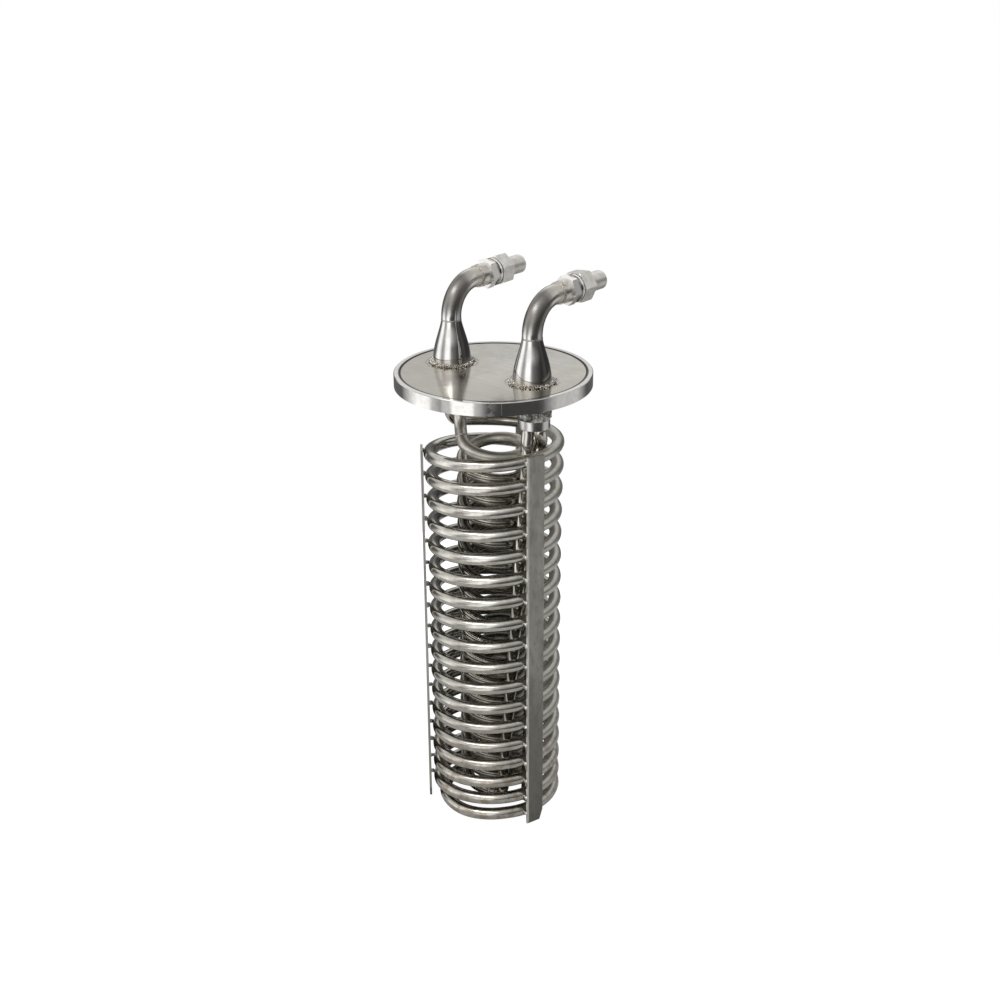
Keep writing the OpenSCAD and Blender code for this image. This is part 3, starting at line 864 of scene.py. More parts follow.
@dataclass(frozen=True)
class TubeFinish(Finish):
    """Drawn satin tube with lines along its length, smears, brown tints, painted shade and painted
    light.
    """

    tint_low: float = -560.0
    # Heights over which the painted shade on the inward faces fades out.
    soot_z: tuple[float, float] = (-170.0, -110.0)
    deep_z: tuple[float, float] = (-520.0, -180.0)
    # Height above which the tube is painted in the paler lit tone.
    fresh_z: float = 1000.0
    crest_r: float = 0.0
    # Share of the duller finish and the painted light on the right-hand side.
    dust: float = 0.0

    def build(self, g: Graph) -> bpy.types.Material:
        """Draw lines follow the tube's own map, tints gather low on the coil. Painted shade darkens the
        inward faces, and painted light pales the right side and a lit top.
        """
        uv = g.tree.nodes.new("ShaderNodeUVMap")
        uv.uv_map = "tube"
        along = Val(g, uv.outputs[0])
        drawn = g.noise(0.012, 3.0, (0.35, 1.0, 1.0), 0.6, along)
        band = g.noise(0.05, 3.0, (0.9, 1.5, 1.0), 0.6, along)
        cloud = g.noise(17.0, 5.0, rough=0.62)
        g.tone(cloud.step(0.34, 0.68), self.dull, self.pale)
        g.coat(band.step(0.45, 0.7) * 0.35, (0.45, 0.44, 0.41))
        # Painted shade: the tube's inward faces, below a height, are darkened.
        inside = g.from_axis(0.0, 0.0).fade(self.crest_r - 5.0, self.crest_r + 3.0)
        inside = inside * g.z.fade(*self.soot_z)
        g.coat(inside * 0.75, SOOT)
        deep = g.z.fade(*self.deep_z)
        g.coat(deep * 0.35, (0.34, 0.32, 0.28))
        # The side to the right, as seen from the front, is duller, rougher and less metallic, and it is
        # also painted paler as painted light.
        dusty = g.toward(0.763, 0.647).step(20.0, 70.0) * self.dust
        g.coat(dusty * 0.6, (0.62, 0.60, 0.545))
        # Painted light: above this height the tube takes a paler, lit tone and is rougher.
        fresh = g.z.step(self.fresh_z, self.fresh_z + 14.0)
        g.coat(fresh, FRESH)
        low = g.z.fade(self.tint_low, self.tint_low + 120.0)
        brown = g.noise(12.0, 4.0).step(0.48, 0.62) * (0.20 + low * 0.55)
        g.coat(brown, BROWN)
        pits = g.cells(1.5).fade(0.06, 0.16)
        g.coat(pits * cloud.step(0.5, 0.6) * 0.5, (0.2, 0.19, 0.18))
        rough = self.rough + self.spread * (drawn - 0.5) + 0.13 * (cloud - 0.5) + brown * 0.15
        g.relief(drawn + 0.8 * band - pits, self.grain)
        return g.wear(rough + dusty * 0.16 + fresh * 0.18, 1.0 - 0.3 * dusty)


@dataclass(frozen=True)
class BarFinish(Finish):
    """Mill-finish flat bar: upright rolling lines, stains, scratches and a painted highlight along one
    edge.
    """

    bearing: float = STRIP_A0
    half: float = STRIP_W / 2
    metal: float = 0.82
    low_z: tuple[float, float] = (-560.0, -160.0)

    def build(self, g: Graph) -> bpy.types.Material:
        """Long lines along Z under broad stains, and a painted highlight on the edge on the tacks' side.
        """
        rolled = g.noise(1.1, 3.0, (1.0, 1.0, 0.03), 0.65)
        stain = g.noise(24.0, 5.0, (1.0, 1.0, 0.35), 0.62)
        fleck = g.noise(7.0, 5.0, (1.0, 1.0, 0.5), 0.7).step(0.48, 0.62)
        nick = g.noise(2.4, 5.0, (1.0, 1.0, 0.22), 0.75).step(0.62, 0.72)
        g.tone(stain.step(0.3, 0.7), self.dull, self.pale)
        g.coat(fleck * 0.45, (0.26, 0.245, 0.22))
        g.coat(nick * 0.4, (0.20, 0.19, 0.17))
        low = g.z.fade(*self.low_z)
        g.coat(low * 0.8, (0.13, 0.12, 0.10))
        a = math.radians(self.bearing)
        side = g.toward(math.sin(a), -math.cos(a))
        # Painted highlight: a bright line along the bar's edge on the tacks' side, and a fainter one on
        # the other edge.
        edge = (side + (rolled - 0.5) * 1.5).step(self.half - 2.8, self.half - 1.6)
        edge = edge.fn("MAXIMUM", (-side).step(self.half - 0.3, self.half - 0.1) * 0.35)
        rubbed = edge * (0.6 + 0.4 * stain.step(0.35, 0.6))
        g.coat(rubbed * 0.8, (0.86, 0.85, 0.82))
        rough = self.rough + self.spread * (rolled - 0.5) + 0.12 * (stain - 0.5) - 0.1 * edge
        g.relief(rolled - nick, self.grain)
        return g.wear(rough, self.metal)


@dataclass(frozen=True)
class WeldFinish(Finish):
    """Weld metal: bright puddle crests, dark scale in the hollows."""

    soot: float = 0.5
    broad: float = 0.0

    def build(self, g: Graph) -> bpy.types.Material:
        """Coarse and fine lumps drive colour, gloss and relief together.

        Where the finish is broad, clean bright metal and burnt metal also take turns
        over lengths of about a centimetre.
        """
        coarse = g.noise(1.8, 4.0, rough=0.65)
        fine = g.noise(0.45, 3.0, rough=0.7)
        scale = g.noise(4.5, 4.0).step(0.5, 0.66)
        g.tone(coarse.step(0.36, 0.62), self.dull, self.pale)
        g.coat(scale * self.soot, BROWN)
        patch = g.noise(13.0, 2.0)
        g.coat(patch.fade(0.40, 0.50) * self.broad, (0.10, 0.095, 0.085))
        g.coat(patch.step(0.54, 0.62) * self.broad, (0.86, 0.85, 0.82))
        rough = self.rough + self.spread * (fine - 0.5) + scale * 0.2
        g.relief(coarse * 2.0 + fine, self.grain)
        return g.wear(rough)


@dataclass(frozen=True)
class SealFinish(Finish):
    """White fibre gasket."""

    def build(self, g: Graph) -> bpy.types.Material:
        """A faintly mottled sheet with a soft fibre relief."""
        fibre = g.noise(0.6, 4.0, (1.0, 0.3, 1.0))
        g.tone(fibre.step(0.3, 0.7), self.dull, self.pale)
        g.relief(fibre, self.grain)
        return g.wear(self.rough + self.spread * (fibre - 0.5), 0.0)


PLATE = PlateFinish("plate", (0.66, 0.635, 0.575), (0.52, 0.495, 0.44), 0.14, 0.10, grain=0.006)
RIM = RimFinish("rim", (0.75, 0.74, 0.72), (0.66, 0.65, 0.62), 0.05, 0.03, grain=0.005)
NECK = NeckFinish("neck", (0.82, 0.81, 0.79), (0.68, 0.67, 0.65), 0.045, 0.03, grain=0.003)
UNION = UnionFinish("union", (0.72, 0.71, 0.69), (0.60, 0.59, 0.57), 0.12, 0.08)
NUT = CastFinish("nut", (0.84, 0.815, 0.77), (0.66, 0.64, 0.60), 0.36, 0.12, grain=0.015)
HEADER = Finish("header", (0.68, 0.67, 0.65), (0.52, 0.51, 0.49), 0.16, 0.10, grain=0.05)
COIL = TubeFinish("coil", (0.72, 0.70, 0.65), (0.52, 0.50, 0.455), 0.13, 0.09, grain=0.006,
                  crest_r=80.5, dust=1.0)
RISER = TubeFinish("riser", (0.74, 0.72, 0.67), (0.56, 0.54, 0.495), 0.12, 0.08, grain=0.006)
# Painted shade: the inner coil is the coil's tube in darker tones, because it lies in shade. Above -100
# mm it takes the paler lit tone.
INNER = TubeFinish("inner_tube", (0.48, 0.46, 0.41), (0.38, 0.36, 0.315), 0.20, 0.08, grain=0.006,
                   fresh_z=-100.0, crest_r=43.0)
BARS = {
    name: BarFinish(f"{name}_steel", (0.58, 0.56, 0.515), (0.40, 0.39, 0.355), 0.40, 0.14,
                    grain=0.02, bearing=STRIP_A0 - STRIP_STEP * index)
    for index, name in enumerate(("strip_a", "strip_b", "strip_c"))
}
BEAD = WeldFinish("bead", (0.74, 0.72, 0.68), (0.25, 0.235, 0.21), 0.18, 0.16, grain=0.10, soot=0.4)
TACK = WeldFinish("tack", (0.86, 0.85, 0.82), (0.60, 0.58, 0.54), 0.20, 0.15, grain=0.15, soot=0.2)
SEAM = WeldFinish("seam", (0.60, 0.58, 0.54), (0.42, 0.40, 0.37), 0.20, 0.12, grain=0.05, soot=0.2)
SCALE = WeldFinish("scale", (0.72, 0.71, 0.69), (0.22, 0.21, 0.19), 0.26, 0.25, grain=0.45, soot=0.5,
                   broad=0.85)
SEAL = SealFinish("seal", (0.80, 0.80, 0.77), (0.68, 0.68, 0.65), 0.6, 0.1, grain=0.03)


def dress(node: str, finish: Finish) -> None:
    """Gives a CAD node its finish.

    Args:
        node: the node's name.
        finish: its finish.
    """
    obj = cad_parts[node]
    made = finish.material()
    obj.data.materials.clear()
    obj.data.materials.append(made)
    for index in range(len(obj.material_slots)):
        obj.material_slots[index].material = made
    LOG.info("%s: dressed as %s", node, finish.name)


# ---------------------------------------------------------------- sub-assemblies


@dataclass
class Lid:
    """The plate, its rim, and the rippled fillet that joins them underneath."""

    rim_width: float = 7.0
    plate_under: float = 11.4
    fillet: float = 2.6
    sunk: float = 0.9
    turns: int = 1400

    def build(self) -> None:
        """Dresses the plate and rim, and lays the fillet."""
        dress("lid_plate", PLATE)
        dress("lid_rim", RIM)
        out = circle(self.turns, X_AXIS, Y_AXIS)
        ring = out * (RIM_R - self.rim_width - self.sunk) + Z_AXIS * (self.plate_under - self.sunk)
        bead = Shell.bead(ring, unit(out - Z_AXIS), unit(out + Z_AXIS), self.fillet * 0.8,
                          self.fillet * 0.55, Ripple(150, 0.2, 0.06, seed=3))
        bead.piece("lid_fillet", BEAD, Slot.WELD, ["lid_weld"])


@dataclass
class Gooseneck:
    """Reducer and elbow of one port, with the bead at the foot and both seams."""

    side: Side
    bead_width: float = 4.5
    bead_height: float = 3.0
    puddles: int = 40
    cone_r: float = 24.5
    wall: float = 1.6
    flare_power: float = 1.3
    bend_r: float = 42.0
    neck_up: float = 3.0
    neck_proud: float = 0.30
    union_proud: float = 0.85
    cone_turns: int = 160
    pipe_sides: int = 96
    foot_turns: int = 900

    def build(self) -> None:
        """Turns the reducer, bends the elbow and lays the three welds."""
        label = self.side.label
        seed = 20 + 7 * self.side.value
        centre = np.array([self.side.x, PORT_Y, 0.0])
        self._reducer(centre).piece(f"{label}_cone", NECK, Slot.NECK, [f"{label}_reducer"])
        self._elbow().piece(f"{label}_bend", NECK, Slot.NECK, [f"{label}_elbow"])
        self._foot(centre, seed).piece(f"{label}_foot_bead", BEAD, Slot.WELD, [f"{label}_foot_weld"])
        neck = self._seam(centre + Z_AXIS * SEAM_Z, Z_AXIS, self.neck_proud, seed)
        end = self._seam(np.array([self.side.x, SEAM_Y, AXIS_Z]), Y_AXIS, self.union_proud, seed + 2)
        Shell.merged([neck, end]).piece(f"{label}_seams", SEAM, Slot.WELD)

    def _reducer(self, centre: Array) -> Shell:
        """The flared reducer, turned smoothly.

        Its radius is the pipe's plus the flare's share of the cosine of a quarter
        turn over the height, raised to the flare's power.

        Args:
            centre: the foot's middle.
        Returns:
            The reducer.
        """
        u = np.concatenate([[0.0, 0.003], np.linspace(0.02, 0.98, 44), [0.997, 1.0]])
        flare = np.maximum(np.cos(u * math.pi / 2), 0.0) ** self.flare_power
        r = PIPE_R + (self.cone_r - PIPE_R) * flare
        z = PLATE_TOP + (SEAM_Z - PLATE_TOP) * u
        outer, inner = np.stack([r, z], -1), np.stack([r - self.wall, z], -1)[::-1]
        return Shell.lathe(centre, np.concatenate([outer, inner]), self.cone_turns, 0.0, 1)

    def _elbow(self) -> Shell:
        """The elbow: a short rise, a quarter bend towards +Y and a short run."""
        t = np.radians(np.linspace(0.0, 90.0, 61))
        bend_z = SEAM_Z + self.neck_up
        y = np.concatenate([
            np.full(3, PORT_Y), PORT_Y + self.bend_r * (1.0 - np.cos(t)),
            [SEAM_Y - 3.0, SEAM_Y - 0.1, SEAM_Y],
        ])
        z = np.concatenate([
            [SEAM_Z, SEAM_Z + 0.1, SEAM_Z + 1.5], bend_z + self.bend_r * np.sin(t),
            np.full(3, AXIS_Z),
        ])
        path = np.stack([np.full(len(y), self.side.x), y, z], -1)
        return Shell.pipe(path, X_AXIS, PIPE_R, PIPE_R - self.wall, self.pipe_sides)

    def _foot(self, centre: Array, seed: int) -> Shell:
        """The heavy bead at the reducer's foot: a rough ring of overlapped puddles.

        Its outline is a quarter of an ellipse from the plate up to the cone. Ridges
        fan out over it, one a puddle, each a share of the bead's width.

        Args:
            centre: the foot's middle.
            seed: the noise's seed.
        Returns:
            The bead.
        """
        turns, w, h = self.foot_turns, self.bead_width, self.bead_height
        turn = np.arange(turns) / turns
        ripple = Ripple(self.puddles, 0.42, seed=seed)
        size = ripple.swell(turn + 0.0015 * waves(np.stack([turn * 60.0] * 3, -1), seed, 4.0))
        b = np.linspace(0.0, math.pi / 2, 8)
        out = np.concatenate([w * np.cos(b), [-1.2, -1.2]])
        up = np.concatenate([h * np.sin(b), [h, 0.0]])
        grow = np.concatenate([np.ones(8), [0.0, 0.0]])
        scale = 1.0 + grow[None, :] * (0.92 * size[:, None] - 1.0)
        r = self.cone_r + out[None, :] * np.where(out > 0.0, scale, 1.0)
        rings = polar(r, 360.0 * turn[:, None], PLATE_TOP - 0.2 + up[None, :] * scale)
        lump = 0.85 * waves(rings, seed + 2, 4.2) + 0.35 * waves(rings, seed + 3, 1.6)
        push = (grow * lump)[..., None]
        rings = rings + push * (0.8 * Z_AXIS + unit(rings * LEVEL))
        return Shell((rings + centre).reshape(-1, 3), grid_quads(turns, len(out), True, True))

    def _seam(self, centre: Array, axis: Array, proud: float, seed: int) -> Shell:
        """A thin bead round the pipe where two pieces butt.

        Args:
            centre: the seam's middle.
            axis: the pipe's direction there.
            proud: how far the bead stands out.
            seed: its ripple's seed.
        Returns:
            The bead.
        """
        ripple = Ripple(34, 0.15, 0.1, grain=0.02, seed=seed)
        return Shell.collar(centre, axis, X_AXIS, PIPE_R + 0.1 * proud, (proud, 1.1), ripple, 360)


@dataclass
class PipeUnion:
    """Body, seal, nut and tail of one union."""

    side: Side

    def build(self) -> None:
        """Dresses the union's four nodes."""
        label = self.side.label
        dress(f"{label}_union_body", UNION)
        dress(f"{label}_union_seal", SEAL)
        dress(f"{label}_union_tail", NUT)
        dress(f"{label}_union_nut", NUT)


@dataclass
class Header:
    """Pipe and cap under one port, the rough weld between them and the tubes' welds."""

    side: Side
    radius: float = 19.8
    cap_top: float = -31.0
    face: float = -43.0
    bead_height: float = 12.0
    bead_width: float = 2.0
    bead_proud: float = 0.25
    bead_sunk: float = 0.7
    bead_rough: float = 0.34
    bead_grain: float = 4.2
    bead_turns: int = 300
    fillet_out: float = 0.35
    fillet_low: float = 0.75
    fillet_half: tuple[float, float] = (1.15, 1.25)
    fillet_turns: int = 240

    def build(self) -> None:
        """Dresses the pipe and cap, wraps the rough weld and rings both tubes."""
        label = self.side.label
        dress(f"{label}_header", HEADER)
        dress(f"{label}_header_cap", HEADER)
        seed = 60 + 5 * self.side.value
        centre = X_AXIS * self.side.x
        a = np.linspace(-math.pi / 2, math.pi / 2, 15)
        outer = np.stack([
            self.radius + self.bead_proud + self.bead_width * np.cos(a) * 0.8,
            self.cap_top + self.bead_height / 2 * (1 + np.sin(a)),
        ], -1)
        inner = np.stack([np.full(2, self.radius - self.bead_sunk), outer[[-1, 0], 1]], -1)
        profile = np.concatenate([outer, inner])
        scale = Shell.lathe(centre, profile, self.bead_turns, self.bead_rough, seed, self.bead_grain)
        scale.piece(f"{label}_header_scale", SCALE, Slot.WELD, [f"{label}_header_weld"])
        spread = polar(TWIN, TWIN_A if self.side is Side.OUTLET else 0.0, 0.0)
        rings = [
            self._collar(centre + sign * spread, seed + 3 * k)
            for k, sign in enumerate((-1.0, 1.0))
        ]
        Shell.merged(rings).piece(f"{label}_tube_beads", TACK, Slot.WELD)

    def _collar(self, centre: Array, seed: int) -> Shell:
        """A small fillet where a tube meets the cap's face."""
        centre = centre + Z_AXIS * (self.face - self.fillet_low)
        ripple = Ripple(22, 0.3, 0.1, grain=0.05, seed=seed)
        radius = TUBE_R + self.fillet_out
        return Shell.collar(centre, Z_AXIS, X_AXIS, radius, self.fillet_half, ripple, self.fillet_turns)


@dataclass
class Route:
    """Centrelines of both coils and both risers, by the CAD's own formulas."""

    tube_top: float = -43.3
    outer_r: float = 79.5
    outer_flare: float = 5.2
    outer_turns: int = 18
    outer_top: float = 72.9
    outer_pitch: float = 31.9
    outer_low: float = 23.0
    outer_lean: float = 5.0
    start_drop: float = 8.0
    start_reach: float = 15.0
    start_a: float = 85.0
    flare_turns: float = 1.5
    pitch_lead: float = 0.5
    drop_turns: float = 0.07
    tail_sweep: float = 0.78
    inner_r: float = 40.5
    inner_turns: int = 17
    inner_top: float = 72.5
    inner_pitch: float = 29.5
    inner_low: float = 27.8
    inner_lean: float = 5.3
    feed_bend: float = 20.0
    end_bend: float = 18.0
    foot_lead: float = 2.0
    riser_gap: float = 1.6
    front_a: float = -50.0
    rings: int = 60
    outer_exit_a: float = -7.0
    inner_exit_a: float = -40.6
    level_lead: float = 0.06
    level_ease: float = 0.2
    sweep_share: float = 0.9
    joint_lap: float = 0.3
    waist_drop: float = 33.0
    neck_drop: float = 4.0
    outer_waist_a: float = 9.8
    inner_waist_a: float = -4.6

    def __post_init__(self) -> None:
        """Works out the values that hang together."""
        self.start_head = polar(1.0, self.start_a, 0.0)
        self.outer_x = PORT_X + TWIN
        p0 = self.start_reach * self.start_head - X_AXIS * self.outer_x
        self.outer_r0, self.outer_a0 = to_polar(p0)
        apart = 2.0 * TUBE_R + self.riser_gap
        self.outer_riser_r = self.outer_r - apart
        self.inner_riser_r = self.inner_r + apart
        self.tail_run = 2.0 * TUBE_R + 2.0
        reach = self.foot_lead + self.end_bend
        self.tail_r = math.sqrt(self.outer_riser_r**2 - (self.tail_run + reach) ** 2)
        swing = math.degrees(math.acos(self.tail_r / self.outer_riser_r))
        self.outer_end_a = self.outer_exit_a + swing
        self.outer_end = self.outer_turns + (self.outer_a0 - self.outer_end_a) / 360.0
        self.tail_s = self.outer_end - self.tail_sweep
        self.level_s = self.tail_s - self.level_lead
        opening = math.tan(math.radians(self.outer_a0 - self.start_a))
        self.open_rate = (TAU * self.outer_r0 / opening + self.outer_flare / self.flare_turns) / (
            self.outer_r + self.outer_flare - self.outer_r0
        )
        self.inner_x = PORT_X - TWIN
        self.feed_a = -math.degrees(math.asin(self.inner_r / self.inner_x))
        self.inner_a0 = 270.0 + self.feed_a
        hug = math.degrees(math.acos(self.inner_r / self.inner_riser_r))
        self.inner_end_a = self.inner_exit_a - hug + 360.0
        self.inner_end = self.inner_turns + (self.inner_end_a - self.inner_a0) / 360.0
        self.end_run = math.sqrt(self.inner_riser_r**2 - self.inner_r**2) - reach
        self.tail_head = polar(1.0, self.outer_end_a - 90.0, 0.0)
        self.end_head = polar(1.0, self.inner_end_a + 90.0, 0.0)
        self.outer_foot = self.outer_at(np.array([self.outer_end]))[0] + self.tail_run * self.tail_head
        self.inner_foot = self.inner_at(np.array([self.inner_end]))[0] + self.end_run * self.end_head
        self.waist_z = self.tube_top - self.waist_drop
        self.neck_top_z = self.tube_top - self.neck_drop

    def fall(self, s: Array, top: float, low: float, total: float) -> Array:
        """Depth after s turns: the pitch narrows with the cube of the height."""
        return top * s - (top - low) * s * (s / total) ** 3 / 4.0

    def lean(self, a: Array, height: float) -> Array:
        """How far a turn leans up at angle a."""
        return height * np.cos(np.radians(a - self.front_a))

    def outer_a(self, s: Array) -> Array:
        """Angle of the outer coil after s turns."""
        return self.outer_a0 - 360.0 * s

    def outer_rad(self, s: Array) -> Array:
        """Radius: opens from the bend, settles from the flare, sweeps in at the tail."""
        wound = self.outer_r + self.outer_flare * np.exp(-s / self.flare_turns)
        wound = wound - (self.outer_r + self.outer_flare - self.outer_r0) * np.exp(-self.open_rate * s)
        swept = smooth((s - self.tail_s) / (self.sweep_share * self.tail_sweep))
        return wound + (self.tail_r - wound) * swept

    def outer_z(self, s: Array) -> Array:
        """Height: a short drop, an eased pitch, a lean, and a level last turn."""
        wound = np.minimum(s, self.level_s)
        lead = self.pitch_lead
        eased = np.where(wound < lead, wound**2 / (2.0 * lead), wound - lead / 2.0)
        level = smooth((s - self.level_s) / self.level_ease)
        return (
            self.start_drop * np.exp(-s / self.drop_turns) - self.outer_top
            - self.fall(eased, self.outer_pitch, self.outer_low, self.outer_end)
            + self.lean(self.outer_a(s), self.outer_lean) * (1.0 - level)
        )

    def outer_at(self, s: Array) -> Array:
        """Points of the outer coil after s turns."""
        return polar(self.outer_rad(s), self.outer_a(s), self.outer_z(s))

    def inner_at(self, s: Array) -> Array:
        """Points of the inner coil after s turns."""
        a = self.inner_a0 + 360.0 * s
        z = -self.inner_top - self.fall(s, self.inner_pitch, self.inner_low, self.inner_end)
        return polar(self.inner_r + 0.0 * s, a, z - self.lean(a, self.inner_lean))

    def bend(self, p: Array, d: Array, e: Array, r: float, angles: Array) -> Array:
        """A bend that leaves p along d and turns towards e."""
        a = np.radians(angles)[:, None]
        return p + r * np.sin(a) * d + r * (1.0 - np.cos(a)) * e

    def outward(self, p: Array) -> Array:
        """Level direction away from the axis."""
        return unit(p * LEVEL)

    def strung(self, x: float, bend: Array, coil: Array, run: Array,
               lead: Array) -> tuple[Array, Array]:
        """A coil's whole centreline: its drop, bend, turns and straight end.

        Args:
            x: distance of the drop from the middle.
            bend: points of the bend below the drop.
            coil: points of the turns.
            run: the straight end, from its first point to its last.
            lead: outward direction along drop and bend.
        Returns:
            Its points, and one outward direction a point.
        """
        top = np.array([[-x, 0.0, self.tube_top]])
        ends = coil[-1] + np.array([[0.5], [1.0]]) * run
        out = self.outward(coil)
        return (
            np.concatenate([top, bend, coil, ends]),
            np.concatenate([np.tile(lead, (len(bend) + 1, 1)), out, np.tile(out[-1], (2, 1))]),
        )

    def outer_coil(self) -> tuple[Array, Array]:
        """Centreline of the outer coil with one outward direction a point."""
        start = self.outer_at(np.array([0.0, 0.01]))
        head = unit(start[1] - start[0])
        turn = 90.0 - math.degrees(math.asin(-head[2]))
        r = self.start_reach / (1.0 - math.cos(math.radians(turn)))
        corner = np.array([-self.outer_x, 0.0, start[0, 2] + r * math.sin(math.radians(turn))])
        bend = self.bend(corner, -Z_AXIS, self.start_head, r, np.linspace(0.0, turn, 14)[:-1])
        coil = self.outer_at(np.linspace(0.0, self.outer_end, int(self.outer_end * self.rings)))
        run = (self.tail_run - self.joint_lap) * self.tail_head
        return self.strung(self.outer_x, bend, coil, run, -X_AXIS)

    def inner_coil(self) -> tuple[Array, Array]:
        """Centreline of the inner coil with one outward direction a point."""
        head = polar(1.0, self.feed_a, 0.0)
        coil = self.inner_at(np.linspace(0.0, self.inner_end, int(self.inner_end * self.rings * 0.8)))
        corner = np.array([-self.inner_x, 0.0, coil[0, 2] + self.feed_bend])
        bend = self.bend(corner, -Z_AXIS, head, self.feed_bend, np.linspace(0.0, 90.0, 16))
        run = (self.end_run - self.joint_lap) * self.end_head
        return self.strung(self.inner_x, bend, coil, run, self.outward(coil[0]))

    def riser(self, outer: bool) -> tuple[Array, Array]:
        """Centreline of one riser: bend, long run, and a neck that swings and draws.

        Args:
            outer: whether it is the outer coil's riser.
        Returns:
            Its points, and one sideways direction a point.
        """
        foot = self.outer_foot if outer else self.inner_foot
        head = self.tail_head if outer else self.end_head
        r0 = self.outer_riser_r if outer else self.inner_riser_r
        flare = self.outer_flare if outer else 0.0
        waist_a = self.outer_waist_a if outer else self.inner_waist_a
        run_foot = foot + (self.foot_lead + self.end_bend) * head + Z_AXIS * self.end_bend
        foot_a = to_polar(run_foot)[1]
        hole = PORT_X * X_AXIS + polar(TWIN if outer else -TWIN, TWIN_A, 0.0)
        hole_r, hole_a = to_polar(hole)

        def hug(z: Array) -> Array:
            """Radius of the riser beside its coil at height z."""
            share = (z + self.outer_top) / self.outer_pitch - self.pitch_lead
            return r0 + flare * np.exp(share / self.flare_turns)

        bend = self.bend(foot + self.foot_lead * head, head, Z_AXIS, self.end_bend,
                         np.linspace(0.0, 90.0, 14)[:-1])
        u = np.linspace(0.0, 1.0, 40)
        z = run_foot[2] + (self.waist_z - run_foot[2]) * u
        run = polar(hug(z), foot_a + (waist_a - foot_a) * u, z)
        v = np.arange(0.94, 0.05, -0.06)
        z = self.neck_top_z + (self.waist_z - self.neck_top_z) * v
        r = hole_r + (hug(z) - hole_r) * smooth((v - 0.15) / 0.85)
        neck = polar(r, hole_a + (waist_a - hole_a) * smooth(v / 0.85), z)
        top = hole + np.array([[self.neck_top_z], [self.tube_top]]) * Z_AXIS
        path = np.concatenate([foot[None], bend, run, neck, top])
        side = np.tile([head[1], -head[0], 0.0], (len(path), 1))
        return path, side


@dataclass
class Coils:
    """Both coils and risers as smooth drawn tube, and the welds between them."""

    route: Route
    joint_proud: float = 0.1
    joint_half: tuple[float, float] = (0.75, 1.8)
    joint_turns: int = 220

    def build(self) -> None:
        """Carries the tube along all four routes and rings the three joints."""
        r = self.route
        for name, (path, out), sides, finish in (
            ("outer_coil", r.outer_coil(), 22, COIL), ("inner_coil", r.inner_coil(), 18, INNER),
            ("outer_riser", r.riser(True), 28, RISER), ("inner_riser", r.riser(False), 28, RISER),
        ):
            Shell.tube(path, TUBE_R, sides, out).piece(f"{name}_tube", finish, Slot.COIL, [name])
        feed = r.inner_at(np.array([0.0, 0.01]))
        joints = [
            (r.outer_foot, r.tail_head), (r.inner_foot, r.end_head),
            (feed[0], unit(feed[1] - feed[0])),
        ]
        beads = [self._joint(p, d, 90 + 3 * k) for k, (p, d) in enumerate(joints)]
        Shell.merged(beads).piece("tube_joints", TACK, Slot.WELD)

    def _joint(self, centre: Array, axis: Array, seed: int) -> Shell:
        """A butt weld round a tube."""
        start = unit(np.cross(axis, Z_AXIS))
        ripple = Ripple(18, 0.25, 0.1, grain=0.05, seed=seed)
        radius = TUBE_R + self.joint_proud
        return Shell.collar(centre, axis, start, radius, self.joint_half, ripple, self.joint_turns)


